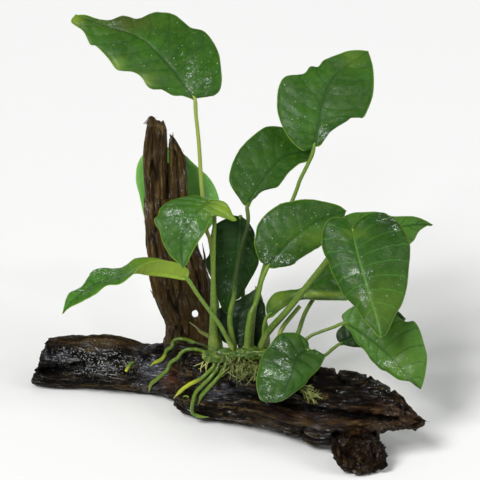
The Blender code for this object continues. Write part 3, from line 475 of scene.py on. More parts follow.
@dataclass(frozen=True)
class WoodFinish:
    """Old water-soaked driftwood, near black on the arms and dark brown on the upright.

    To the eye it is a wet, dark surface with drawn-out grain, a painted highlight of paler brown on
    its ridges, rusty stains, a painted pale sheen in patches, many small hard painted highlights and
    painted shade in its cracks and grooves.
    """

    name: str
    black: str
    brown: str
    pale: str
    rust: str
    grey_sheen: str

    def material(self) -> bpy.types.Material:
        """Builds the node tree.

        Returns:
            The material. It reads "flow", the place along and across the grain, the stains, the painted
            sheen and the painted shade in cracks and grooves.
        """
        shader = Shader(self.name, {"Coat Roughness": 0.06, "Specular IOR Level": 0.05})
        flow = shader.add(STORED, {"attribute_name": "flow"}, {}, "Vector")
        spot = shader.add(COORDS, {}, {}, "Object")
        # Sizes are in millimetres. A wood fibre is about 0.05 mm wide and a glint 0.1 mm, too fine
        # to show, so the strands are 0.4 mm wide and the wet film's pattern 0.7 to 1 mm.
        noises = {}
        for name, where, size_mm, detail, roughness in (
            ("grain", flow, 1.111, 6.0, 0.65),
            ("strands", flow, 0.3846, 3.0, 0.5),
            ("film", flow, 0.6667, 4.0, 0.7),
            ("blotch", spot, 11.11, 4.0, 0.5),
            ("crust", spot, 1.429, 5.0, 0.7),
            ("spark", spot, 1.0, 2.0, 0.6),
        ):
            links = {"Vector": where, "Scale": 1.0 / (size_mm * MM), "Detail": detail}
            noises[name] = shader.add(NOISE, {}, {**links, "Roughness": roughness})
        stored = {}
        for name in ("tone", "ridge", "rust", "grey_sheen", "drops", "hollow_shade"):
            stored[name] = shader.add(STORED, {"attribute_name": name}, {}, "Fac")
        shown = {}
        for name, by, low, high in (
            ("lit", "strands", 0.42, 0.68),
            ("rusty", "grain", 0.35, 0.6),
            ("sheen_blotch", "blotch", 0.4, 0.6),
            ("patchy", "blotch", 0.44, 0.58),
            ("sparkle", "spark", 0.57, 0.63),
        ):
            shown[name] = shader.add(RANGE, SMOOTH, (noises[by], low, high))
        sway = shader.add(RANGE, SMOOTH, (noises["grain"], 0.3, 0.7, -0.35, 0.35))
        tone = shader.add(MATH, ADD, (stored["tone"], sway))
        brown = shader.add(RANGE, SMOOTH, (tone, 0.0, 1.0))
        # Painted highlight: paler brown on the ridges of the grain, where the light would catch them.
        ridge = shader.add(MATH, TIMES, (stored["ridge"], shown["lit"]))
        rust = shader.add(MATH, TIMES, (stored["rust"], shown["rusty"]))
        # Painted sheen: a pale bluish colour in patches where the wet film would reflect the light.
        grey_sheen = shader.add(MATH, TIMES, (stored["grey_sheen"], shown["sheen_blotch"]))

        # Painted glints: pale specks and streaks of colour stand for the wet film's highlights where the
        # film is thick, in patches and where drops lie. The same mask also sets the real coat.
        soaked = shader.add(MATH, ADD, (stored["drops"], stored["grey_sheen"]))
        soaked = shader.add(MATH, TIMES, (soaked, 0.09))
        soaked = shader.add(MATH, ADD, (noises["film"], soaked))
        painted_glints = shader.add(RANGE, SMOOTH, (soaked, 0.60, 0.70, 0.0, 0.6))
        painted_glints = shader.add(MATH, TIMES, (painted_glints, shown["patchy"]))
        wetter = shader.add(RANGE, SMOOTH, (stored["drops"], 0.05, 0.8, 0.0, 0.65))
        painted_glitter = shader.add(MATH, TIMES, (shown["sparkle"], wetter))
        painted_glints = shader.add(MATH, LARGER, (painted_glints, painted_glitter))
        wood = colour(self.black)
        for share, over in (
            (brown, self.brown),
            (ridge, self.pale),
            (rust, self.rust),
            (grey_sheen, self.grey_sheen),
            (painted_glints, "#b4b8ba"),
            # painted shade in the cracks and grooves
            (stored["hollow_shade"], "#050403"),
        ):
            wood = shader.add(MIX, COLOURS, {0: share, 6: wood, 7: colour(over)}, 2)

        rough = shader.add(RANGE, SMOOTH, (noises["blotch"], 0.35, 0.65, 0.30, 0.55))
        relief = noises["grain"]
        for name, share in (("strands", 0.45), ("crust", 0.7)):
            part = shader.add(MATH, TIMES, (noises[name], share))
            relief = shader.add(MATH, ADD, (relief, part))
        coat = shader.add(RANGE, SMOOTH, (soaked, 0.50, 0.60))
        coat = shader.add(MATH, TIMES, (coat, shown["patchy"]))
        return shader.finish(wood, rough, relief, 0.0011, coat)


@dataclass(frozen=True)
class WaterFinish:
    """Water drops, which the eye sees as small bright points; their near-white, partly clear colour is a
    painted highlight.
    """

    name: str = "water"

    def material(self) -> bpy.types.Material:
        """Builds the node tree.

        Returns:
            The material, faintly uneven so that no two drops shine alike.
        """
        constants = {"Transmission Weight": 0.40, "IOR": 1.33, "Coat Weight": 0.8, "Coat Roughness": 0.02}
        shader = Shader(self.name, constants)
        spot = shader.add(COORDS, {}, {}, "Object")
        # The pattern is 3.3 mm across, wider than a drop, so it changes from drop to drop.
        cloud = shader.add(NOISE, {}, {"Vector": spot, "Scale": 1.0 / (3.333 * MM)})
        # Painted highlight: a near-white colour makes each tiny drop show as a pale dot.
        tint = shader.add(MIX, COLOURS, {0: cloud, 6: colour("#f4fbf2"), 7: colour("#dfeedd")}, 2)
        rough = shader.add(RANGE, SMOOTH, (cloud, 0.3, 0.7, 0.02, 0.08))
        return shader.finish(tint, rough, cloud, 0.00001)


@dataclass(frozen=True)
class FloorFinish:
    """A plain pale floor with hardly any sheen."""

    name: str = "pale_floor"

    def material(self) -> bpy.types.Material:
        """Builds the node tree.

        Returns:
            The material, an even off-white.
        """
        shader = Shader(self.name, {"Specular IOR Level": 0.1})
        spot = shader.add(COORDS, {}, {}, "Object")
        # A cloud of the floor's tone is 250 mm across.
        cloud = shader.add(NOISE, {}, {"Vector": spot, "Scale": 1.0 / (250.0 * MM)})
        tint = shader.add(MIX, COLOURS, {0: cloud, 6: colour("#f6f6f4"), 7: colour("#f3f3f2")}, 2)
        rough = shader.add(RANGE, SMOOTH, (cloud, 0.0, 1.0, 0.85, 0.95))
        return shader.finish(tint, rough, cloud, 0.0002)


class Finish(Enum):
    """The finishes of the plant, the wood and the water on them."""

    GREEN = LeafFinish("leaf_green", "#22480f", "#457b22", "#1f420d", "#849f32", "#88a53a", "#1c3b0e")
    HEART = LeafFinish("leaf_heart", "#1e440b", "#3c7519", "#3d6f22", "#75932c", "#85a13d", "#568434")
    DEEP = LeafFinish("leaf_deep", "#1f3f10", "#446f24", "#1b380f", "#6b892d", "#75933a", "#17300f")
    # LIT and SHADE, the next two, are the leaf finish made brighter and darker: painted light on the leaf
    # behind the upright and painted shade on the leaves deep inside the plant.
    LIT = LeafFinish("leaf_lit", "#4f8c36", "#78b258", "#6fa650", "#86a844", "#98b858", "#86b262")
    SHADE = LeafFinish("leaf_shade", "#10280a", "#244814", "#284c19", "#435a1a", "#4a6022", "#345420")
    STALK = StemFinish("stalk_skin", "#3d581a", "#557024", "#62802a", "#8a9842", 0.12)
    RHIZOME = StemFinish("creeping_stem_skin", "#1f360d", "#2f4d11", "#3c5817", "#7d8a3a", 0.10)
    ROOT = StemFinish("root_skin", "#2f4a0d", "#4d6a16", "#b8bc2a", "#98a642", 0.30)
    ROOTLET = StemFinish("rootlet_skin", "#1f2a0d", "#3c4a15", "#6f7b28", "#b9bd74", 0.1)
    SHEATH = StemFinish("dry_sheath_skin", "#4d5c1f", "#5c6625", "#6b722f", "#48441d")
    FIBRE = StemFinish("wood_fibre_skin", "#2f2114", "#3d2a19", "#503a21", "#795e39")
    WOOD = WoodFinish("wet_driftwood", "#080503", "#48371c", "#806c46", "#502c12", "#4c4c58")
    WATER = WaterFinish()
    FLOOR = FloorFinish()

    def get(self) -> bpy.types.Material:
        """The finish's material, built the first time that it is asked for."""
        return bpy.data.materials.get(self.value.name) or self.value.material()


def link(obj: bpy.types.Object) -> bpy.types.Object:
    """Puts an object into the scene."""
    bpy.context.scene.collection.objects.link(obj)
    return obj


def new_mesh(name: str, points: list[Vector], edges: list[tuple], faces: list[tuple]) -> bpy.types.Mesh:
    """Makes a smooth-shaded mesh.

    Args:
        name: The mesh's name.
        points: Its points, in metres.
        edges: Pairs of point numbers, for lines without faces.
        faces: Each face's point numbers.

    Returns:
        The mesh.
    """
    mesh = bpy.data.meshes.new(name)
    mesh.from_pydata(points, edges, faces)
    mesh.shade_smooth()
    return mesh


def store(mesh: bpy.types.Mesh, numbers: dict[str, list[float]]) -> None:
    """Stores named numbers, one for each point of the mesh."""
    for name, values in numbers.items():
        mesh.attributes.new(name, "FLOAT", "POINT").data.foreach_set("value", values)


def dress(
    name: str, mesh: bpy.types.Mesh, nodes: tuple[str, ...], finish: Finish
) -> bpy.types.Object:
    """Makes a finished piece of the part.

    Args:
        name: The piece's name.
        mesh: Its mesh, in place.
        nodes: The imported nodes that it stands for.
        finish: Its finish.

    Returns:
        The piece, riding on the part's one body.
    """
    mesh.materials.clear()
    mesh.materials.append(finish.get())
    obj = link(bpy.data.objects.new(name + "_detail", mesh))
    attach(obj, "root")
    if nodes:
        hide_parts(*nodes)
    mesh.calc_loop_triangles()
    LOG.info("%s: %d triangles", name, len(mesh.loop_triangles))
    return obj


def merged(name: str, meshes: list[bpy.types.Mesh]) -> bpy.types.Mesh:
    """Joins meshes that have the same attributes into one.

    Args:
        name: The new mesh's name.
        meshes: The meshes, which are removed.

    Returns:
        The new mesh.
    """
    shaped = bmesh.new()
    for mesh in meshes:
        shaped.from_mesh(mesh)
    joined = bpy.data.meshes.new(name)
    shaped.to_mesh(joined)
    shaped.free()
    for mesh in meshes:
        bpy.data.meshes.remove(mesh)
    joined.shade_smooth()
    return joined


def surface_tree(pieces: list[bpy.types.Object]) -> BVHTree:
    """Makes a search tree of the surfaces of pieces.

    Args:
        pieces: The pieces.

    Returns:
        One tree of them all.
    """
    shaped = bmesh.new()
    for piece in pieces:
        shaped.from_mesh(piece.data)
    tree = BVHTree.FromBMesh(shaped)
    shaped.free()
    return tree


def run_nodes(tree: bpy.types.NodeTree, mesh: bpy.types.Mesh, values: dict[str, Any]) -> bpy.types.Mesh:
    """Runs Geometry Nodes on a mesh and keeps the result as a plain mesh.

    Args:
        tree: The tree.
        mesh: What its first input takes. It is removed afterwards.
        values: The tree's other inputs by name.

    Returns:
        The new mesh.
    """
    carrier = bpy.data.objects.new("carrier", mesh)
    modifier = carrier.modifiers.new("nodes", "NODES")
    modifier.node_group = tree
    for item in tree.interface.items_tree:
        if item.item_type == "SOCKET" and item.in_out == "INPUT" and item.name in values:
            modifier[item.identifier] = values[item.name]
    link(carrier)
    bpy.context.view_layer.update()
    graph = bpy.context.evaluated_depsgraph_get()
    made = bpy.data.meshes.new_from_object(carrier.evaluated_get(graph))
    carrier.modifiers.remove(modifier)
    bpy.data.objects.remove(carrier)
    bpy.data.meshes.remove(mesh)
    return made


def new_group(name: str, inputs: list[tuple[str, str]]) -> tuple[bpy.types.NodeTree, Any, Any]:
    """Starts a Geometry Nodes tree.

    Args:
        name: The tree's name.
        inputs: The name and socket type of each input after the geometry.

    Returns:
        The tree, its input node and its output node.
    """
    tree = bpy.data.node_groups.new(name, "GeometryNodeTree")
    tree.interface.new_socket("Geometry", in_out="INPUT", socket_type="NodeSocketGeometry")
    tree.interface.new_socket("Geometry", in_out="OUTPUT", socket_type="NodeSocketGeometry")
    for label, kind in inputs:
        tree.interface.new_socket(label, in_out="INPUT", socket_type=kind)
    return tree, tree.nodes.new("NodeGroupInput"), tree.nodes.new("NodeGroupOutput")


def skin_nodes() -> bpy.types.NodeTree:
    """Builds the tree that gives lines of points a round skin.

    Each point's "thickness" is the radius there, in metres. "Lump size" and "Lump height" make the
    skin uneven.

    Returns:
        The tree.
    """
    inputs = [
        ("Sides", "NodeSocketInt"),
        ("Lump size", "NodeSocketFloat"),
        ("Lump height", "NodeSocketFloat"),
        ("Finish", "NodeSocketMaterial"),
    ]
    tree, given, result = new_group("skin_along_lines", inputs)
    lines = add_node(tree, "GeometryNodeMeshToCurve", {}, {"Mesh": given.outputs["Geometry"]})
    thick = add_node(tree, "GeometryNodeInputNamedAttribute", {}, {"Name": "thickness"}, "Attribute")
    links = {"Resolution": given.outputs["Sides"], "Radius": 1.0}
    ring = add_node(tree, "GeometryNodeCurvePrimitiveCircle", {}, links)
    links = {"Curve": lines, "Profile Curve": ring, "Scale": thick, "Fill Caps": True}
    tube = add_node(tree, "GeometryNodeCurveToMesh", {}, links)
    lump = add_node(tree, NOISE, {}, {"Scale": given.outputs["Lump size"], "Detail": 2.0}, "Fac")
    centred = add_node(tree, MATH, TAKE, (lump, 0.5))
    height = add_node(tree, MATH, TIMES, (centred, given.outputs["Lump height"]))
    outward = add_node(tree, "GeometryNodeInputNormal", {}, {})
    push = add_node(tree, "ShaderNodeVectorMath", {"operation": "SCALE"}, {0: outward, "Scale": height})
    moved = add_node(tree, "GeometryNodeSetPosition", {}, {"Geometry": tube, "Offset": push})
    real = add_node(tree, "GeometryNodeRealizeInstances", {}, {"Geometry": moved})
    links = {"Geometry": real, "Material": given.outputs["Finish"]}
    painted = add_node(tree, "GeometryNodeSetMaterial", {}, links)
    tree.links.new(painted, result.inputs["Geometry"])
    return tree


def drop_nodes() -> bpy.types.NodeTree:
    """Builds the tree that scatters flat round drops on a surface.

    A point's "drops" is how many lie there, from 0 to 1 of "Density" a square metre.

    Returns:
        The tree.
    """
    inputs = [
        ("Density", "NodeSocketFloat"),
        ("Smallest", "NodeSocketFloat"),
        ("Largest", "NodeSocketFloat"),
        ("Seed", "NodeSocketInt"),
        ("Finish", "NodeSocketMaterial"),
    ]
    tree, given, result = new_group("scattered_drops", inputs)
    share = add_node(tree, "GeometryNodeInputNamedAttribute", {}, {"Name": "drops"}, "Attribute")
    many = add_node(tree, MATH, TIMES, (share, given.outputs["Density"]))
    links = {"Mesh": given.outputs["Geometry"], "Density": many, "Seed": given.outputs["Seed"]}
    spots = add_node(tree, "GeometryNodeDistributePointsOnFaces", {}, links, "Points")
    links = {2: given.outputs["Smallest"], 3: given.outputs["Largest"], "Seed": given.outputs["Seed"]}
    size = add_node(tree, "FunctionNodeRandomValue", {"data_type": "FLOAT"}, links, 1)
    links = {0: (1.0, 1.0, 0.6), "Scale": size}
    flat = add_node(tree, "ShaderNodeVectorMath", {"operation": "SCALE"}, links)
    ball = add_node(tree, "GeometryNodeMeshIcoSphere", {}, {"Radius": 1.0, "Subdivisions": 2})
    smooth = add_node(tree, "GeometryNodeSetShadeSmooth", {}, {"Geometry": ball, "Shade Smooth": True})
    turn = spots.node.outputs["Rotation"]
    links = {"Points": spots, "Instance": smooth, "Rotation": turn, "Scale": flat}
    drops = add_node(tree, "GeometryNodeInstanceOnPoints", {}, links)
    real = add_node(tree, "GeometryNodeRealizeInstances", {}, {"Geometry": drops})
    links = {"Geometry": real, "Material": given.outputs["Finish"]}
    painted = add_node(tree, "GeometryNodeSetMaterial", {}, links)
    tree.links.new(painted, result.inputs["Geometry"])
    return tree


@dataclass(frozen=True)
class Patch:
    """A stained, lit or shaded patch, placed on the sheet and fading with distance."""

    across: float
    down: float
    reach: float
    strength: float
    kind: str
    stretch: tuple[float, float] = (1.0, 1.0)

    def weight(self, across: float, down: float) -> float:
        """How strongly the patch shows at a place of the sheet.

        Args:
            across: The place's way from the sheet's left edge, in millimetres.
            down: Its distance from the top edge.

        Returns:
            The strength there.
        """
        x = (across - self.across) / self.stretch[0]
        y = (down - self.down) / self.stretch[1]
        return self.strength * math.exp(-(x * x + y * y) / (self.reach * self.reach))


@dataclass
class Sample:
    """One point of a blade's middle surface, with what is known of it."""

    at: Vector
    share: float
    side: float
    rib_mm: float
    rim_mm: float
    across: float
    down: float


@dataclass
class BladeForm:
    """The outline and lean of one leaf blade, as in the solids.

    The base is where the stalk meets it. The blade leans by `lean` millimetres out for each one
    across and down from the base, unless a place holds its own lift out from the base. Its halves
    rise out by `fold` for each millimetre from the midrib, and its middle stands out by `arch`.
    """

    tip: Place
    midrib: list[Place]
    left: list[Place]
    right: list[Place]
    lean: tuple[float, float] = (0.0, 0.3)
    fold: float = 0.1
    arch: float = 2.0
    wave: float = 0.5
    lag: float = 1.4
    base: Place = (0.0, 0.0, 0.0)

    def lifted(self, at: Place) -> Place:
        """A place of the outline with its out value."""
        lift = self.lean[0] * (at[0] - self.base[0]) + self.lean[1] * (at[1] - self.base[1])
        return (at[0], at[1], self.base[2] + (at[2] if len(at) == 3 else lift))

    def rails(self, rows: int) -> tuple[list[Place], list[Place], list[Place]]:
        """Draws the margins and the midrib.

        Args:
            rows: How many places each line gets.

        Returns:
            The left margin, the midrib and the right margin.
        """
        end = self.lifted(self.tip)
        lines = []
        for middle in (self.left, self.midrib, self.right):
            lines.append([self.base, *(self.lifted(at) for at in middle), end])
        spine = smooth_path(lines[1], SPINE_POINTS)
        lagging = [at_share(spine, (row / (rows - 1)) ** self.lag) for row in range(rows)]
        return smooth_path(lines[0], rows), lagging, smooth_path(lines[2], rows)

    def grid(self, rows: int, columns: int) -> list[list[Sample]]:
        """Samples the blade from base to tip, each row from the left margin to the right.

        Args:
            rows: Rows along the blade.
            columns: Columns on each side of the midrib, closer near the midrib and the margin.

        Returns:
            The rows of samples, without the base and the tip.
        """
        left, middle, right = self.rails(rows)
        made = []
        for row in range(1, rows - 1):
            share = row / (rows - 1)
            lift = self.arch * math.sin(math.pi * share)
            line = []
            for column in range(-columns, columns + 1):
                even = abs(column) / columns
                away = 0.55 * (0.5 - 0.5 * math.cos(math.pi * even)) + 0.45 * even
                side = left[row] if column < 0 else right[row]
                across, down, out = between(middle[row], side, away)
                wide = distance(middle[row], side)
                flat = distance(middle[row][:2], side[:2]) * away
                out += self.fold * flat + lift * (1 - away * away)
                out += self.wave * away**3 * math.sin(share * 17.0 + math.copysign(1.3, column))
                sign = math.copysign(away, column)
                at = place((across, down, out))
                line.append(Sample(at, share, sign, wide * away, wide * (1 - away), across, down))
            made.append(line)
        return made


@dataclass(frozen=True)
class Look:
    """What one leaf's skin shows.

    `veins` is how many side veins each half has and `quilt` how far, in millimetres, the skin
    swells between them. `curl` is how far the margin turns back and `ruffle` how far it waves.
    `tone` goes from 0, deep green, to 1, fresh green. `drops` is how densely water drops lie on the
    blade. `stalk_pale` is the stalk's share of the mark's colour and `stalk_shade` how dark its
    upper part is.
    """

    finish: Finish = Finish.GREEN
    tone: float = 0.5
    veins: float = 9.0
    quilt: float = 0.28
    curl: float = 0.35
    ruffle: float = 0.6
    drops: float = 0.5
    stalk_pale: float = 0.0
    stalk_shade: float = 0.0
    patches: tuple[Patch, ...] = ()


@dataclass
class Leaf:
    """A blade on a stalk, which rises from the creeping stem.

    STALK_LEAN brings each place of the stalk further out the higher it is. The blade starts at the
    last of them.
    """

    name: str
    form: BladeForm
    stalk: list[Place]
    radii: tuple[float, ...] = (1.3, 1.0, 0.9)
    look: Look = Look()
    rows: int = 92
    columns: int = 20
    thick_mm: float = 0.5
    flare: float = 0.3

    def __post_init__(self) -> None:
        """Leans the stalk and hangs the blade on its end."""
        self.stalk = [(a, d, out + STALK_LEAN * (RHIZOME_DOWN - d)) for a, d, out in self.stalk]
        self.form.base = self.stalk[-1]

    def vein_number(self, share: float, side: float) -> float:
        """Which side vein a place is on: whole numbers lie on a vein."""
        half = 0.5 if side > 0 else 0.0
        return self.look.veins * (share**0.92 - 0.07 * side * side) + half

    def relief(self, spot: Sample) -> float:
        """How far the skin stands out at a sample.

        Args:
            spot: The sample.

        Returns:
            The height in millimetres.
        """
        away = abs(spot.side)
        swell = abs(math.sin(math.pi * self.vein_number(spot.share, spot.side))) ** 0.8
        fade = ease(spot.rib_mm, 0.3, 3.0) * ease(spot.rim_mm, 0.2, 3.5)
        height = 1.1 * self.look.quilt * (swell - 0.5) * fade
        at = Vector((spot.across, spot.down, len(self.name) * 7.0))
        height += 0.45 * noise.noise(at * 0.13) * ease(spot.rim_mm, 0.0, 4.0)
        height += (0.16 + 0.25 * self.look.quilt) * noise.noise(at * 0.38) * ease(spot.rib_mm, 0.0, 2.0)
        height += 0.07 * noise.noise(at * 0.95)
        height -= 0.42 * math.exp(-((spot.rib_mm / 0.75) ** 2)) * (1.0 - 0.6 * spot.share)
        edge = ease(away, 0.55, 1.0)
        seed = Vector((spot.share * 7.0, math.copysign(3.0, spot.side), len(self.name) * 1.7))
        height += self.look.ruffle * edge * (noise.noise(seed) + 0.4 * noise.noise(seed * 2.7))
        height -= self.look.curl * ease(1.8 - spot.rim_mm, 0.0, 1.8) ** 2
        return height

    def blade_mesh(self) -> bpy.types.Mesh:
        """Builds the blade as a thin closed body with its veins, midrib and wavy margin.

        Returns:
            The mesh, with the attributes and the map that its finish reads.
        """
        grid = self.form.grid(self.rows, self.columns)
        base_at, tip_at = self.form.base, self.form.lifted(self.form.tip)
        ends = [
            Sample(place(at), share, 0.0, 0.0, 0.0, at[0], at[1])
            for at, share in ((base_at, 0.0), (tip_at, 1.0))
        ]
        spots = [spot for line in grid for spot in line] + ends
        width = 2 * self.columns + 1
        faces = sheet_faces(len(grid), width)
        middle = new_mesh("middle", [spot.at for spot in spots], [], faces)
        normals = [vertex.normal.copy() for vertex in middle.vertices]
        bpy.data.meshes.remove(middle)
        facing = sum(normal.dot(OUT) for normal in normals)
        if facing < 0.0:
            normals = [-normal for normal in normals]
        points = []
        for spot, normal in zip(spots, normals):
            relief = self.relief(spot) if spot.rim_mm or spot.rib_mm else 0.0
            points.append(spot.at + normal * ((relief + self.half_thick(spot)) * MM))
        for spot, normal in zip(spots, normals):
            relief = self.relief(spot) * 0.8 if spot.rim_mm or spot.rib_mm else 0.0
            ridge = 0.75 * math.exp(-((spot.rib_mm / 0.7) ** 2)) * (1.0 - 0.85 * spot.share)
            points.append(spot.at + normal * ((relief - ridge - self.half_thick(spot)) * MM))
        faces = closed_faces(faces, len(grid), width, len(spots))
        mesh = new_mesh(self.name + "_blade", points, [], faces)
        fix_normals(mesh)
        self.mark(mesh, spots)
        return mesh

    def half_thick(self, spot: Sample) -> float:
        """Half the blade's thickness at a sample, thinner towards the margin, in millimetres."""
        return self.thick_mm * 0.5 * (0.45 + 0.55 * ease(spot.rim_mm, 0.0, 1.5))

    def mark(self, mesh: bpy.types.Mesh, spots: list[Sample]) -> None:
        """Stores what the finish reads.

        Args:
            mesh: The blade's mesh.
            spots: Its samples, which both faces of the blade share.
        """
        kinds = {"pale": [], "shade": [], "brown": [], "wet": [], "drops": []}
        for spot in spots:
            found = dict.fromkeys(kinds, 0.0)
            for patch in self.look.patches:
                if patch.kind in found:
                    found[patch.kind] += patch.weight(spot.across, spot.down)
            for kind, value in found.items():
                kinds[kind].append(min(value, 1.0))
        count = len(spots)
        inside = [ease(spot.rim_mm, 0.8, 3.0) * ease(spot.rib_mm, 0.3, 1.2) for spot in spots]
        wet = [min(self.look.drops + more, 2.0) * share for more, share in zip(kinds["drops"], inside)]
        store(
            mesh,
            {
                "rib_mm": [spot.rib_mm for spot in spots] * 2,
                "rim_mm": [spot.rim_mm for spot in spots] * 2,
                "under": [0.0] * count + [1.0] * count,
                "tone": [self.look.tone] * (2 * count),
                "pale": kinds["pale"] * 2,
                "shade": kinds["shade"] * 2,
                "brown": kinds["brown"] * 2,
                "wet": kinds["wet"] * 2,
                "drops": wet + [0.0] * count,
            },
        )
        chart = mesh.uv_layers.new(name="veins")
        numbers = [(0.5 + 0.5 * spot.side, self.vein_number(spot.share, spot.side)) for spot in spots] * 2
        chart.uv.foreach_set("vector", [n for loop in mesh.loops for n in numbers[loop.vertex_index]])

    def stalk_line(self) -> tuple[list[Vector], dict[str, list[float]]]:
        """Draws the stalk's middle line.

        It clasps the creeping stem with a wider foot, swells a little below the blade and runs
        out under the midrib.

        Returns:
            The line's points and, for each of them, the radius and what the finish reads.
        """
        spine = self.form.rails(STALK_ROWS)[1]
        line = smooth_path([*self.stalk, spine[3]], STALK_POINTS)
        length = sum(distance(a, b) for a, b in zip(line, line[1:]))
        points, radii, along, mark, shade = [], [], [], [], []
        for index, at in enumerate(line):
            share = index / (len(line) - 1)
            from_end = (1.0 - share) * length
            radius = at_share(list(self.radii), share)
            radius *= 1.0 + self.flare * math.exp(-((share * length / 4.0) ** 2))
            radius *= 1.0 + 0.10 * math.exp(-(((from_end - 6.0) / 3.0) ** 2))
            radius *= 0.45 + 0.55 * ease(from_end, -1.0, 3.0)
            radius *= 0.30 + 0.70 * ease(share * length, 0.0, 3.5)
            points.append(place(at))
            radii.append(radius * MM)
            along.append(share)
            sheath = 0.7 * math.exp(-((share * length / 9.0) ** 2))
            sheath *= 0.5 + noise.noise(points[-1] * 300.0)
            mark.append(min(max(sheath + self.look.stalk_pale, 0.0), 1.0))
            lit = 0.4 * ease(share, 0.84, 0.92)
            shade.append(self.look.stalk_shade * (ease(share, 0.30, 0.48) - lit))
        return points, {"thickness": radii, "along": along, "mark": mark, "shade": shade}


def sheet_faces(rows: int, width: int) -> list[tuple[int, ...]]:
    """Numbers the faces of one sheet of points, with a fan to the base and one to the tip.

    Args:
        rows: The sheet's rows.
        width: How many points a row has. The base and the tip follow the last row.

    Returns:
        Each face's point numbers.
    """
    base, tip = rows * width, rows * width + 1
    faces = []
    for row in range(rows - 1):
        for column in range(width - 1):
            a = row * width + column
            faces.append((a, a + 1, a + 1 + width, a + width))
    last = (rows - 1) * width
    for column in range(width - 1):
        faces.append((base, column + 1, column))
        faces.append((tip, last + column, last + column + 1))
    return faces


def closed_faces(sheet: list[tuple[int, ...]], rows: int, width: int, size: int) -> list[tuple[int, ...]]:
    """Numbers the faces of a blade's two sides and of the rim between them.

    Args:
        sheet: The faces of its first side.
        rows: The sheet's rows.
        width: How many points a row has.
        size: How many points a side has.

    Returns:
        Each face's point numbers.
    """
    faces = list(sheet) + [tuple(size + index for index in reversed(face)) for face in sheet]
    for edge in (0, width - 1):
        rim = [size - 2, *(row * width + edge for row in range(rows)), size - 1]
        for start, end in zip(rim, rim[1:]):
            faces.append((start, end, end + size, start + size))
    return faces


def fix_normals(mesh: bpy.types.Mesh) -> None:
    """Points every face outwards.

    Args:
        mesh: The closed mesh.
    """
    shaped = bmesh.new()
    shaped.from_mesh(mesh)
    bmesh.ops.recalc_face_normals(shaped, faces=shaped.faces)
    if shaped.calc_volume(signed=True) < 0.0:
        bmesh.ops.reverse_faces(shaped, faces=shaped.faces)
    shaped.to_mesh(mesh)
    shaped.free()
    mesh.shade_smooth()


# In the looks below, the "wet" patches make the skin glossier and also paint thin highlights on it, and the
# "shade" patches paint shade.
TOP_LEFT_LOOK = Look(
    tone=0.25,
    veins=11,
    quilt=0.26,
    drops=0.3,
    stalk_pale=0.9,
    patches=(
        Patch(64, 11, 8, 0.45, "brown", (2.0, 0.6)),
        Patch(37.5, 9.5, 4, 0.6, "pale"),
        Patch(58, 33, 4, 0.4, "pale"),
        Patch(73, 41, 4, 0.35, "pale"),
        Patch(96, 38, 4.5, 0.9, "wet", (0.8, 2.0)),
        Patch(103.5, 41, 3, 0.8, "wet", (0.8, 1.8)),
        Patch(55, 11.5, 6, 0.45, "wet", (1.8, 0.6)),
        Patch(102, 26, 14, 1.5, "drops"),
    ),
)
TOP_RIGHT_LOOK = Look(
    tone=0.2,
    veins=9,
    quilt=0.28,
    drops=0.3,
    patches=(
        Patch(162, 67, 2.4, 1.0, "wet", (1.0, 1.6)),
        Patch(146, 55, 9, 1.0, "drops"),
        Patch(176, 29, 5, 0.2, "pale"),
    ),
)
MIDDLE_LOOK = Look(
    tone=0.05,
    veins=9,
    quilt=0.24,
    drops=0.4,
    stalk_shade=0.85,
    patches=(Patch(120, 88, 7, 0.7, "drops"),),
)
FOLDED_LOOK = Look(
    tone=0.36,
    veins=8,
    quilt=0.46,
    drops=0.9,
    patches=(
        Patch(112, 104.5, 5.5, 0.7, "pale", (1.5, 1.0)),
        Patch(118, 109, 3, 0.5, "pale"),
        Patch(93, 111, 6, 0.8, "wet"),
        Patch(86, 107, 4, 0.6, "wet"),
        Patch(99, 118, 4, 0.5, "wet"),
    ),
)
FAR_LEFT_LOOK = Look(
    tone=0.62,
    veins=10,
    quilt=0.25,
    drops=0.3,
    patches=(
        Patch(86, 132.5, 7, 0.9, "pale", (1.5, 1.0)),
        Patch(72, 131, 7, 0.35, "pale", (1.5, 0.7)),
        Patch(52, 136, 6, 0.75, "wet", (1.8, 0.8)),
        Patch(41, 145, 4, 0.7, "wet", (1.2, 0.8)),
    ),
)
CENTRE_LOOK = Look(
    tone=0.12,
    veins=10,
    quilt=0.28,
    drops=0.8,
    patches=(
        Patch(131, 128, 6, 0.3, "shade"),
        Patch(162, 119, 9, 0.2, "pale", (1.5, 0.5)),
        Patch(133, 128.5, 2.6, 1.0, "wet", (0.7, 1.7)),
        Patch(142, 129.8, 3.5, 1.0, "wet", (1.8, 0.7)),
        Patch(132.5, 109, 2.5, 0.6, "wet"),
        Patch(148, 117, 9, 0.8, "drops"),
    ),
)
HANGING_LOOK = Look(
    Finish.SHADE,
    tone=0.5,
    veins=8,
    quilt=0.3,
    drops=0.4,
    patches=(
        Patch(118, 112, 8, 0.25, "shade"),
        Patch(114, 143, 5, 0.4, "wet"),
        Patch(112, 140, 6.5, 2.4, "drops"),
    ),
)
HEART_LOOK = Look(
    Finish.HEART,
    tone=0.0,
    veins=11,
    quilt=0.14,
    drops=0.4,
    patches=(
        # Painted sheen: a pale patch on the lower part towards the tip.
        Patch(192, 152, 13, 0.22, "pale"),
        Patch(194, 111, 8, 0.45, "shade"),
        Patch(178, 117, 4, 0.25, "pale", (1.6, 0.7)),
        Patch(193.5, 109, 4, 1.0, "wet", (1.7, 0.6)),
        Patch(197, 115, 2.6, 0.9, "wet"),
        Patch(178, 136, 2.4, 0.8, "wet", (1.6, 0.8)),
        Patch(185, 137, 2.0, 0.6, "wet", (1.0, 1.4)),
        Patch(183, 147, 4.5, 0.45, "wet", (1.0, 1.5)),
    ),
)
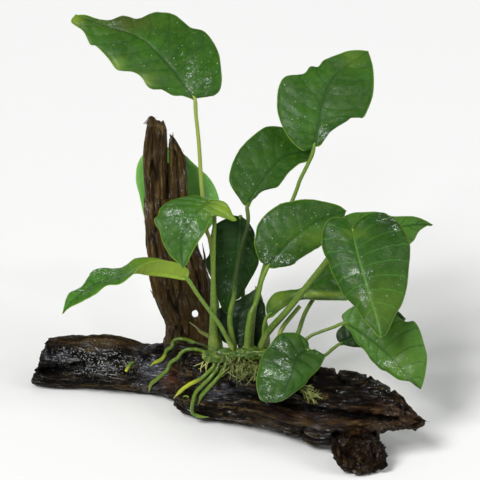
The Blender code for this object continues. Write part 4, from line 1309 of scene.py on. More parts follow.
RIGHT_BACK_LOOK = Look(
    Finish.DEEP,
    tone=0.75,
    veins=9,
    drops=0.2,
    patches=(Patch(214, 112, 6, 0.3, "shade"),),
)
LEVEL_LOOK = Look(
    tone=0.05,
    veins=9,
    quilt=0.25,
    drops=0.2,
    patches=(
        Patch(139, 150, 5, 0.45, "pale"),
        Patch(160, 147.3, 3.0, 0.8, "pale", (4.0, 0.5)),
        Patch(157, 151, 5, 0.6, "shade", (2.5, 0.6)),
    ),
)
LOW_FRONT_LOOK = Look(
    Finish.DEEP,
    tone=0.35,
    veins=7,
    quilt=0.7,
    drops=0.6,
    patches=(
        Patch(139, 172, 4, 0.7, "wet", (1.4, 0.8)),
        Patch(134, 189, 4, 0.8, "wet", (0.8, 2.0)),
        Patch(142, 184, 5, 0.8, "wet", (0.8, 1.5)),
        Patch(140, 198.5, 3.5, 0.7, "wet", (2.2, 0.6)),
        Patch(150, 178, 7, 0.35, "shade"),
        Patch(137, 180, 6, 0.3, "shade", (1.6, 0.5)),
    ),
)
LOW_RIGHT_LOOK = Look(
    Finish.DEEP,
    tone=0.85,
    veins=9,
    quilt=0.3,
    drops=0.4,
    patches=(
        Patch(193, 182, 3, 0.9, "wet", (1.6, 0.9)),
        Patch(203, 185, 7, 0.45, "wet", (0.9, 1.3)),
        # Painted sheen: a soft pale patch where the leaf would shine.
        Patch(202, 182, 9, 0.25, "pale"),
        Patch(186, 163, 6, 0.3, "shade"),
    ),
)
LOW_BACK_LOOK = Look(
    Finish.SHADE,
    tone=0.35,
    veins=8,
    drops=0.1,
    patches=(Patch(190, 158, 9, 0.4, "shade"),),
)
INNER_LOOK = Look(
    Finish.SHADE,
    tone=0.2,
    veins=8,
    quilt=0.1,
    drops=0.1,
    patches=(
        Patch(125, 165, 12, 0.3, "shade"),
        Patch(110, 162, 7, 0.9, "shade", (0.8, 1.6)),
        Patch(131, 157, 2, 0.6, "wet", (0.6, 1.5)),
    ),
)
BEHIND_UPRIGHT_LOOK = Look(
    Finish.LIT,
    tone=0.6,
    veins=9,
    drops=0.9,
    patches=(Patch(104, 100, 5, 0.6, "wet", (1.0, 1.8)),),
)


def top_left_leaf() -> Leaf:
    """The highest leaf on the left, held nearly level with its tip turned left.

    Returns:
        The leaf.
    """
    form = BladeForm(
        tip=(37.5, 7.2),
        midrib=[(90.3, 40), (84, 32), (76.5, 24.3), (71, 19.8), (61.3, 15.5), (49, 12)],
        left=[
            (102.5, 48.6), (107, 47.8), (110, 45), (111, 40), (110.5, 33.5), (109.5, 26.8),
            (106.5, 20.5), (101.8, 15.3), (95.5, 13.5), (91, 10), (87.3, 7.3), (82.5, 6),
            (76.5, 6), (69, 9), (61.3, 7.5), (54.5, 9.8), (47.5, 8.8), (43, 7.4),
        ],
        right=[
            (92, 48.0), (86.5, 47.8), (81, 45), (76.5, 44.8), (73.5, 43), (70.5, 38.3),
            (66.5, 36), (61.3, 35.5), (58, 34.5), (53.5, 28.5), (48, 23), (45, 22),
            (41.5, 15.5), (35.5, 11),
        ],
        lean=(-0.10, 0.45),
        arch=3.0,
        fold=0.06,
    )
    stalk = [
        (104.8, 176, 13), (105.8, 168, 11), (106.5, 135, 8.5), (105, 120, 6.2),
        (103, 114, 4.8), (101, 95.5, 1), (99.5, 72.5, -1), (98, 57.5, -2), (97.5, 49.4, -2.5),
    ]
    return Leaf("leaf_top_left", form, stalk, (1.4, 1.05, 1.0, 0.9), look=TOP_LEFT_LOOK)


def top_right_leaf() -> Leaf:
    """The highest leaf on the right.

    Returns:
        The leaf.
    """
    form = BladeForm(
        tip=(184.3, 25.5),
        midrib=[(159.3, 62), (161.8, 50), (168, 37.5)],
        left=[
            (153, 75.5), (150, 74.5), (145.2, 70), (142, 65), (139.5, 59), (138.5, 53.5),
            (139, 44.5), (142.5, 38), (151.5, 36.8), (155, 33), (159, 33.3), (161.5, 30.3),
            (166, 28.3), (173.5, 25.5), (180.5, 25),
        ],
        right=[
            (160, 72.5), (163, 69), (166, 65.5), (173, 61), (176.5, 58.5), (181.5, 58.8),
            (184.5, 53.5), (186.5, 47.5), (187, 40.5), (186.5, 33), (185, 27.5),
        ],
        lean=(0.10, 0.35),
        arch=2.5,
    )
    stalk = [
        (125, 176, 15), (126, 165, 12), (128, 150, 9.5), (135, 125, 4.5), (146.5, 99.5, -5),
        (150, 90, -4), (152.5, 85, -3), (156, 77.5, -1), (157, 73, 0),
    ]
    return Leaf("leaf_top_right", form, stalk, (1.4, 1.1, 1.0, 0.95), look=TOP_RIGHT_LOOK)


def middle_leaf() -> Leaf:
    """The round leaf between the two highest.

    Returns:
        The leaf.
    """
    form = BladeForm(
        tip=(157.5, 75.5),
        midrib=[(131, 90), (140, 80), (149, 76.2)],
        left=[
            (122, 103), (119.3, 99), (115.5, 93), (114.5, 89), (115.5, 83.5), (117, 79.5),
            (119.8, 74.5), (124.5, 69.5), (130, 65), (134.5, 63), (140.5, 63.5), (148, 66),
            (154, 71),
        ],
        right=[
            (124.5, 102), (130, 97), (135, 94.8), (138.8, 93.5), (141, 91), (143.5, 87.5),
            (146.5, 84.5), (150, 81.8), (153.5, 80.8), (156.5, 79),
        ],
        lean=(-0.05, 0.40),
        lag=1.2,
    )
    stalk = [
        (117.3, 176, 16), (116, 168.5, 16), (115, 162.5, 14.8), (115.2, 155.5, 13.5),
        (117, 148, 12), (117.3, 142.5, 11), (119, 131.5, 9), (121, 122, 7.5), (124, 111, 5),
        (123.5, 103, 3),
    ]
    return Leaf("leaf_middle", form, stalk, (1.6, 1.25, 0.95, 0.9), look=MIDDLE_LOOK)


def folded_leaf() -> Leaf:
    """Its lobe right of the stalk is turned over and stands out sideways.

    Returns:
        The leaf.
    """
    form = BladeForm(
        tip=(91.5, 134.5),
        midrib=[(100.5, 104), (95, 110.5), (90.5, 120)],
        left=[
            (99.5, 97.5), (95.5, 97.7), (89.5, 99), (85.5, 100), (82, 102), (79.5, 104.8),
            (79, 107.5), (77, 109.8), (78, 113), (79.5, 115), (80.8, 120), (82.5, 123.8),
            (85.5, 128.5), (88.5, 130.8),
        ],
        right=[
            (105.5, 99.6), (111.5, 100.5), (114.5, 103), (116.5, 107), (118.3, 109.8),
            (115.5, 110.4), (111.5, 108.6), (107.8, 107.9), (105.6, 109), (104, 112), (102.5, 116),
            (98.5, 122), (95.5, 127.5), (93.7, 131.5),
        ],
        lean=(0.10, 0.38),
        arch=1.5,
        wave=0.2,
        lag=2.2,
    )
    stalk = [
        (107.5, 176, 16.5), (106.9, 167.5, 17), (106.7, 142.5, 15.5), (107, 120, 12),
        (107.2, 109, 8.5), (105.8, 103.5, 7.8), (104.5, 101, 9),
    ]
    return Leaf("leaf_folded", form, stalk, (2.6, 1.7, 1.1, 1.05, 1.0), look=FOLDED_LOOK, flare=0.7)


def far_left_leaf() -> Leaf:
    """A narrow blade, seen almost edge-on, whose near half rolls up by the stalk.

    Returns:
        The leaf.
    """
    form = BladeForm(
        tip=(31, 156.8, 4),
        midrib=[
            (84, 137.6, 1), (74, 136.6, 2), (67.5, 136, 2), (58, 138.3, 0.5), (48, 142, 0.5),
            (38.5, 148.5, 2),
        ],
        left=[
            (91.5, 136, -4.5), (86, 131.6, -8.5), (80, 129.2, -10.5), (73.5, 128.4, -10.5),
            (67.5, 129, -10), (63.5, 132, -9.5), (58, 134, -8.5), (50.5, 133.6, -8.5),
            (46, 135.3, -7.5), (43.5, 139, -5.5), (40.5, 143, -3.5), (35, 146, -1.5),
            (33, 149, 0), (32, 153, 1.5),
        ],
        right=[
            (94.5, 137.6, 1.5), (94, 134.4, 4.5), (88.5, 131.4, 7.5), (82.5, 130, 9),
            (76.5, 130.6, 9.5), (70.5, 132.8, 9.5), (67, 136.5, 9.5), (64, 139.2, 9.5),
            (59.5, 142, 9), (53.5, 142.4, 8.5), (47.5, 147, 8), (41.5, 150.3, 7), (35, 153.4, 5.5),
        ],
        fold=0.0,
        arch=-1.0,
        wave=0.2,
        lag=1.0,
    )
    stalk = [
        (117, 176, 21), (114.5, 171, 21.3), (112.5, 167, 21.2), (109, 161, 20.8),
        (104.5, 155, 20), (98.7, 147, 19.2), (93.2, 139, 18.2),
    ]
    return Leaf("leaf_far_left", form, stalk, (1.2, 1.0, 0.95), look=FAR_LEFT_LOOK)


def centre_leaf() -> Leaf:
    """The broad leaf in the middle of the plant.

    Returns:
        The leaf.
    """
    form = BladeForm(
        tip=(173.5, 105.5),
        midrib=[(140, 126), (148, 118), (160, 110)],
        left=[
            (130.5, 131.5), (129, 129), (127.8, 125.5), (127, 121), (127.8, 117.5), (128.5, 113),
            (131.3, 108.5), (134.5, 105.5), (138.3, 103), (141, 101.5), (146.5, 100.5),
            (152, 99.5), (160.5, 100.5), (169, 102.4),
        ],
        right=[
            (137, 134.2), (140, 133.7), (144.5, 133.3), (147.5, 132), (149, 130.3), (157.3, 125),
            (160, 123.5), (166, 118), (171, 111),
        ],
        lean=(0.0, 0.20),
        arch=3.0,
        lag=1.3,
    )
    stalk = [
        (123.7, 176, 19.5), (123.6, 173.5, 19.3), (124, 165.5, 18.8), (124.7, 161, 18.5),
        (125.5, 156.5, 18), (127.5, 152.5, 17), (129.5, 146.5, 16), (131, 140, 14.8),
        (134, 133, 13.3),
    ]
    return Leaf("leaf_centre", form, stalk, (1.6, 1.5, 1.05, 1.0), look=CENTRE_LOOK)


def hanging_leaf() -> Leaf:
    """The dark leaf that hangs behind the stalks.

    Returns:
        The leaf.
    """
    form = BladeForm(
        tip=(112.7, 157),
        midrib=[(119.5, 118), (118, 132), (114.5, 147)],
        left=[
            (116.5, 107.6), (112.7, 109.5), (109, 111.5), (106.5, 113.5), (105.5, 116.5),
            (105, 122), (104.5, 127), (103, 129.7), (103, 133), (104, 136), (105.5, 139),
            (108, 147), (110.5, 153),
        ],
        right=[
            (123, 110), (125, 112), (127.5, 116.5), (127.5, 120), (128, 125.5), (129.5, 130.5),
            (128.5, 134), (127, 137), (124.5, 141.3), (123.3, 143.5), (120, 149), (117.5, 150.5),
            (114.5, 154),
        ],
        lean=(0.0, -0.15),
        arch=0.5,
        fold=-0.05,
    )
    stalk = [
        (120.8, 176, 13.5), (119.9, 171.5, 7), (119.8, 167, 3), (120.5, 160, 0), (121.5, 150, -1),
        (121.3, 130, -3), (120.5, 115, -2), (120, 108, 1),
    ]
    return Leaf("leaf_hanging", form, stalk, (1.2, 1.0, 0.9), look=HANGING_LOOK)


def heart_leaf() -> Leaf:
    """The large heart-shaped leaf on the right.

    Returns:
        The leaf.
    """
    form = BladeForm(
        tip=(190.6, 169),
        midrib=[(178.5, 126), (183, 142), (188, 158)],
        left=[
            (175.3, 113), (174, 111.3), (172.5, 109), (167.5, 108.3), (164, 110), (162, 113),
            (160.8, 117), (160.8, 123), (162, 127), (163.5, 130), (165.8, 136.5), (169, 142.5),
            (171, 146.5), (173.8, 150), (177.5, 154), (181, 159.3), (185, 163.5), (188, 167.4),
        ],
        right=[
            (177, 113), (178.3, 110.7), (181.5, 108), (186, 106.3), (190, 106), (193, 106.5),
            (198.2, 110), (200.5, 112.5), (203.3, 117), (205, 121.5), (205.3, 127), (204.5, 134.5),
            (204, 140), (203.3, 145), (201.3, 151.5), (199.5, 155), (197, 159), (193.7, 166.5),
        ],
        lean=(0.05, 0.30),
        arch=3.5,
        fold=-0.05,
    )
    stalk = [
        (130.5, 176, 22), (131, 172.5, 22), (134, 166, 23), (143, 156, 24.5), (151.5, 145.5, 26),
        (157.5, 138, 27), (163, 131, 27.3), (170, 121, 27.3), (176, 115, 30),
    ]
    return Leaf("leaf_heart", form, stalk, (1.8, 1.6, 1.5, 1.2), look=HEART_LOOK)


def right_back_leaf() -> Leaf:
    """The leaf behind the heart-shaped one.

    Returns:
        The leaf.
    """
    form = BladeForm(
        tip=(216.5, 112.5),
        midrib=[(180, 120), (196, 114.5), (207, 112.5)],
        left=[
            (165, 123), (165.5, 116), (169, 110), (174, 107), (178, 105.9), (183.5, 105.8),
            (190, 106), (196.5, 107.6), (204, 107.8), (209, 108.5), (213.5, 110.5),
        ],
        right=[
            (173, 131), (184, 134), (196, 130), (205, 122), (207.5, 119.5), (209.7, 115.6),
            (214, 112.8),
        ],
        lean=(-0.05, 0.45),
        arch=2.0,
    )
    stalk = [
        (143, 178.5, 27), (149, 166.5, 18), (151, 160.5, 14.5), (153, 155.5, 11.5),
        (156, 150.5, 7.5), (163, 138, -2), (168, 127, -7),
    ]
    return Leaf("leaf_right_back", form, stalk, (1.2, 1.1, 1.0, 0.95), look=RIGHT_BACK_LOOK)


def level_leaf() -> Leaf:
    """Held nearly level, so it is seen edge-on.

    Returns:
        The leaf.
    """
    form = BladeForm(
        tip=(180, 138),
        midrib=[(143, 150.8), (156.5, 142.5), (165, 137.5), (173, 136)],
        left=[
            (132.8, 155), (133, 153), (134, 150.3), (137, 146.8), (140, 145.5), (143.3, 144.8),
            (149.5, 144.2), (154, 141), (157.5, 138.2), (163, 131.8), (169, 131), (176, 133.5),
        ],
        right=[
            (135.8, 158.2), (138, 156.6), (145, 152.2), (152, 149.8), (160, 150), (168, 150.2),
            (174, 149.8), (181, 145),
        ],
        lean=(0.20, 0.55),
        arch=1.0,
        fold=0.05,
        lag=1.1,
    )
    stalk = [
        (131, 176.5, 19), (131, 174, 18), (131.7, 167, 17), (132, 163, 16.8),
        (133.5, 158.3, 16.8),
    ]
    return Leaf("leaf_level", form, stalk, (0.9, 0.8), look=LEVEL_LOOK)


def low_front_leaf() -> Leaf:
    """The low leaf in front of the creeping stem.

    Returns:
        The leaf.
    """
    form = BladeForm(
        tip=(133, 201),
        midrib=[(148.5, 178), (145.5, 188), (140.5, 197)],
        left=[
            (154.8, 172.8), (153.5, 169.8), (150, 167), (145.3, 166), (140.5, 166.5), (137.5, 169),
            (134.5, 172.8), (131.5, 176.5), (130, 181), (128.5, 187.5), (128, 192), (128.8, 195.8),
            (130, 199.5),
        ],
        right=[
            (156, 175.4), (158.3, 175), (162.5, 177.5), (161.5, 181), (159, 185), (155, 189),
            (153, 192), (148.5, 195.5), (143, 199.5), (138.5, 201.3),
        ],
        lean=(-0.10, 0.48),
        arch=2.5,
        fold=-0.03,
    )
    stalk = [(146, 180, 31), (149.5, 177, 34.5), (152, 175.5, 37.5), (154.3, 174.8, 41)]
    return Leaf("leaf_low_front", form, stalk, (1.2, 0.95), look=LOW_FRONT_LOOK)


def low_right_leaf() -> Leaf:
    """The low leaf that leans out to the right.

    Returns:
        The leaf.
    """
    form = BladeForm(
        tip=(210.3, 194.8),
        midrib=[(181, 166.5), (192, 175.5), (203, 187)],
        left=[
            (170.8, 159.5), (171.5, 156.8), (178, 152.6), (188, 152), (196, 156), (202.5, 160.5),
            (207, 160.5), (210, 165), (212, 171.5), (213.5, 178), (213, 185), (211.5, 192),
        ],
        right=[
            (173, 163), (175, 166), (178, 171.5), (182.5, 175.5), (185.3, 180), (187.8, 182.5),
            (190.5, 185), (193.5, 186), (198.5, 189.5), (202, 190.5), (204.5, 191), (207.3, 193),
        ],
        lean=(0.05, 0.22),
        arch=2.0,
        lag=1.2,
    )
    stalk = [
        (147.8, 180.2, 29.3), (150, 174, 27), (154.5, 168.5, 26.5), (160, 166, 27), (167, 163.5, 28.2),
        (172.3, 161.3, 29.8),
    ]
    return Leaf("leaf_low_right", form, stalk, (1.0, 0.8, 0.75), look=LOW_RIGHT_LOOK)


def low_back_leaf() -> Leaf:
    """The dark leaf behind the low right one.

    Returns:
        The leaf.
    """
    form = BladeForm(
        tip=(203, 159.5),
        midrib=[(184, 166), (194, 161.5)],
        left=[
            (169, 170.9), (168, 168.3), (168.7, 165.3), (171.5, 162.3), (175, 157),
            (181, 153.5), (190, 152.3), (198, 154.8),
        ],
        right=[(176, 173.5), (184, 174), (191, 173), (198, 168)],
        lean=(0.0, 0.40),
        arch=1.5,
    )
    stalk = [
        (150.3, 181.6, 27.5), (157, 180.6, 25.5), (163, 177.3, 23.5), (166.5, 174.3, 22),
        (170.3, 171.6, 21),
    ]
    return Leaf("leaf_low_back", form, stalk, (1.0, 0.8, 0.75), look=LOW_BACK_LOOK)


def inner_leaf() -> Leaf:
    """The dark young leaf among the stalks.

    Returns:
        The leaf.
    """
    form = BladeForm(
        tip=(127, 174),
        midrib=[(126.5, 153), (126, 164)],
        left=[
            (124, 146.8, -1.8), (119, 150, -5), (113, 152.3, -6.8), (108.5, 155, -7.5),
            (107.3, 159.5, -7), (108, 164.5, -6), (109.8, 168.5, -4.2), (112.4, 171.3, -2),
            (117, 171.9, 0.2), (122, 172.9, 0.6),
        ],
        right=[
            (129.6, 146.5), (131, 149.5), (132.6, 152.5), (132.6, 157), (132.2, 163), (131.3, 169),
            (130, 173),
        ],
        lean=(0.0, -0.08),
        arch=1.0,
    )
    stalk = [
        (133.2, 175.5, 19.5), (134, 170, 10), (132.5, 160, 4), (130.5, 150, 2), (128.2, 144, 5),
    ]
    return Leaf("leaf_inner", form, stalk, (1.1, 0.9), look=INNER_LOOK)


def behind_post_leaf() -> Leaf:
    """The leaf behind the upright wood.

    Returns:
        The leaf.
    """
    form = BladeForm(
        tip=(84, 73.5),
        midrib=[(90.5, 108), (89, 92), (86, 80)],
        left=[
            (83, 120), (76, 117), (73, 112), (69.8, 98), (68, 90), (69, 81.5), (73, 76),
            (79, 73.5),
        ],
        right=[
            (98, 119.5), (105.5, 113), (109.3, 104), (108.8, 97), (105, 89.5), (98, 83), (91, 76.5),
        ],
        lean=(0.0, -0.15),
        arch=-2.0,
    )
    stalk = [
        (110.5, 176, 12), (109.8, 167, 3), (109, 159, -10), (108.5, 151, -21),
        (105, 141, -30.5), (98, 130, -32.5), (91, 119, -33),
    ]
    return Leaf("leaf_behind_upright", form, stalk, (1.1, 0.95, 0.9), look=BEHIND_UPRIGHT_LOOK)


LEAVES = (
    top_left_leaf,
    top_right_leaf,
    middle_leaf,
    folded_leaf,
    far_left_leaf,
    centre_leaf,
    hanging_leaf,
    heart_leaf,
    right_back_leaf,
    level_leaf,
    low_front_leaf,
    low_right_leaf,
    low_back_leaf,
    inner_leaf,
    behind_post_leaf,
)


@dataclass(frozen=True)
class Branch:
    """One branch of the wood: its middle line, which the grain follows, and its look.

    `tone` goes from 0, near black, to 1, brown. The heights are in millimetres. `torn` is how deep
    its first and last ends are broken. `upper` says whether it belongs to the upper length of the
    skin, or None if it belongs to both.
    """

    node: str
    line: tuple[Place, ...]
    tone: float
    strands: float
    lumps: float
    cracks: float
    pale: float
    # `pale` below is how strongly a painted highlight lightens its ridges.
    chunks: float
    torn: tuple[float, float] = (0.0, 0.0)
    upper: bool | None = False


@dataclass(frozen=True)
class Carve:
    """A groove, or with a negative depth a ridge, on the side of the wood that faces the viewer."""

    line: tuple[Place, ...]
    wide: float
    deep: float
    # How strongly painted shade darkens the groove.
    dark: float = 0.0
    round: bool = False

    def near(self, across: float, down: float) -> bool:
        """Whether a place of the sheet is in the box round the line.

        Args:
            across: The place's way from the sheet's left edge, in millimetres.
            down: Its distance from the top edge.

        Returns:
            Whether it is.
        """
        reach = 1.6 * self.wide
        rows, columns = [at[0] for at in self.line], [at[1] for at in self.line]
        beside = min(rows) - reach < across < max(rows) + reach
        return beside and min(columns) - reach < down < max(columns) + reach


BRANCHES = (
    Branch(
        "driftwood_left_arm",
        (
            (20, 180.2, -34), (39.5, 180.6, -34), (52, 181.3, -33), (73, 184, -29.5), (88, 185.5, -18),
            (97.5, 188, -8),
        ),
        0.04, 0.5, 0.8, 1.0, 0.4, 1.4, (3.0, 0.0),
    ),
    Branch(
        "driftwood_right_arm",
        (
            (89, 188.5, -6), (106.5, 193, 0), (120, 194.4, 8), (133.5, 196.5, 18), (158.7, 203, 34.5),
            (170, 203.4, 40.5), (183.5, 203.2, 44), (195, 204.7, 45), (213.5, 211.4, 45),
        ),
        0.18, 0.5, 0.8, 1.2, 0.5, 2.0, (0.0, 3.0),
    ),
    Branch(
        "driftwood_upright",
        (
            (94, 182, -18), (94.5, 162, -16.5), (92, 152.5, -14.2), (90, 142, -11.8), (87, 127, -8.2),
            (83.2, 100, -2),
        ),
        0.80, 0.55, 0.35, 1.0, 0.75, 0.8, upper=None,
    ),
    Branch(
        "driftwood_left_prong",
        ((78, 101, -2), (77.6, 87.5, 1), (77.8, 75, 3.8), (78, 66.5, 5.7), (77.8, 60, 7)),
        0.75, 0.4, 0.2, 0.8, 0.75, 0.5, (0.0, 2.5), True,
    ),
    Branch(
        "driftwood_right_prong",
        ((89.4, 101, -2), (89.2, 90, 0.5), (88.8, 78.5, 3), (87.2, 73, 4.3), (86, 67.5, 5.6)),
        0.8, 0.4, 0.2, 0.8, 0.8, 0.5, (0.0, 2.5), True,
    ),
    Branch(
        "driftwood_foot",
        ((176, 214, 36), (178, 221, 44), (179, 226, 51), (179, 227, 58)),
        0.15, 0.6, 3.4, 1.4, 0.4, 3.4,
    ),
)

CARVES = (
    Carve(((17.5, 186.0), (25, 185.4), (34, 184.2), (43, 182)), 2.6, 1.7, 0.85),
    Carve(((40, 190.5), (56, 191.8), (75, 193)), 1.6, -0.9),
    Carve(((36, 188), (50, 189.3), (66, 190.3), (78, 192)), 1.3, 1.0, 0.5),
    Carve(((22, 173.5), (40, 172.2), (56, 173.2), (72, 176.5)), 1.1, 0.9, 0.45),
    Carve(((30, 179), (44, 177.5), (58, 179), (68, 182)), 1.5, 0.6, 0.25),
    Carve(
        (
            (118, 196.5), (130, 199.5), (146, 203), (158, 204.5), (172, 206.8), (186, 208.6),
            (199, 209.8),
        ),
        1.9, 2.2, 0.9,
    ),
    Carve(((112, 200), (126, 203.5), (142, 208), (160, 211.5), (180, 213)), 2.4, -0.9),
    Carve(((130, 209.5), (146, 213.5), (160, 216.5), (172, 217)), 1.5, 1.0, 0.5),
    Carve(((168.6, 183), (169, 187), (171, 190.5)), 1.5, 2.8, 0.7, True),
    Carve(((184, 188), (184.8, 191.5)), 1.0, 1.3, 0.3, True),
    Carve(((196, 194.5), (196.5, 199)), 1.1, 1.6, 0.4, True),
    Carve(((203.5, 203), (203.3, 207)), 1.0, 1.8, 0.5, True),
    Carve(((165.5, 220.5), (168, 216.5)), 1.6, 2.2, 0.6, True),
    Carve(((150.5, 219), (151, 214.5)), 1.2, 1.6, 0.4, True),
    Carve(((172, 191), (184, 194.5), (194, 199.5), (203, 205)), 1.3, 1.1, 0.5),
    Carve(((156, 193), (170, 197.5), (186, 202)), 1.6, 1.1, 0.6),
    Carve(((104, 186), (112, 190), (118, 194)), 1.6, 1.1, 0.5),
    Carve(((89.1, 72.5), (89.1, 80), (89.3, 90), (89.6, 101)), 0.7, 1.1, 0.6),
    Carve(((76.3, 64), (76.2, 80), (76.6, 98), (78, 116)), 0.7, 0.8, 0.4),
    Carve(((80.3, 66), (80.0, 84), (80.4, 102), (83, 124), (87, 140)), 0.7, 0.9, 0.5),
    Carve(((92, 112), (95, 126), (99, 138), (101, 150)), 0.9, 1.1, 0.6),
    Carve(((86, 140), (88, 150), (90, 162), (92, 170)), 0.8, 0.9, 0.4),
    Carve(((167, 219), (172, 217.5), (180, 219), (187, 217.5)), 2.0, 1.4, 0.6),
    Carve(((172, 226), (176, 229), (178, 233)), 2.2, 1.6, 0.7),
    Carve(((189, 221), (186, 224.5), (187, 229)), 1.8, 1.2, 0.3),
    Carve(((167, 232), (171, 235)), 2.4, 1.4),
    Carve(((190.5, 227.5), (190.5, 230)), 2.0, -1.0),
    Carve(((200, 207.5), (206, 209.5), (211, 210.5)), 0.9, 1.2, 0.6),
    Carve(((203, 213.2), (208, 212.4), (212, 212)), 0.8, 1.2, 0.6),
    Carve(((153, 214.5), (160, 219.5), (166, 220.5)), 1.8, 1.2, 0.4),
)

WOOD_PATCHES = (
    Patch(55, 171, 20, 0.8, "tone", (1.4, 0.18)),
    Patch(60, 193, 18, 0.5, "tone", (1.2, 0.15)),
    # painted sheen of the wet film, in this and the other sheen patches
    Patch(27, 177, 6, 0.7, "grey_sheen", (1.0, 0.5)),
    Patch(76, 183, 8, 0.7, "grey_sheen", (1.0, 1.3)),
    Patch(110, 194, 9, 0.6, "grey_sheen", (1.0, 0.6)),
    Patch(84, 189, 6, 0.8, "rust", (0.9, 1.0)),
    Patch(101, 151, 5, 0.5, "rust", (0.35, 3.0)),
    Patch(148, 212, 30, 0.3, "tone", (1.2, 0.16)),
    Patch(160, 210, 36, 0.12, "rust", (1.2, 0.25)),
    Patch(166, 211, 30, 0.12, "grey_sheen", (1.2, 0.22)),
    Patch(179, 226, 12, 0.2, "rust"),
    Patch(200, 207, 12, 0.3, "rust", (1.2, 0.8)),
    Patch(198, 209, 12, 0.4, "tone", (1.2, 0.5)),
    Patch(172, 195, 22, -0.9, "tone", (1.2, 0.38)),
    # The "drops" patches set where drops lie and also paint glittering specks, a painted highlight; the two
    # tiny ones on the foot stand for two hard glints.
    Patch(53, 181, 17, 0.8, "drops", (1.2, 0.45)),
    Patch(40, 178, 14, 0.5, "drops", (1.2, 0.5)),
    Patch(188.6, 228.0, 0.6, 8.0, "drops"),
    Patch(189.6, 230.6, 0.5, 8.0, "drops"),
    Patch(188, 196, 14, 0.14, "drops", (1.2, 0.4)),
    Patch(85, 118, 20, 0.12, "drops", (0.6, 1.5)),
)


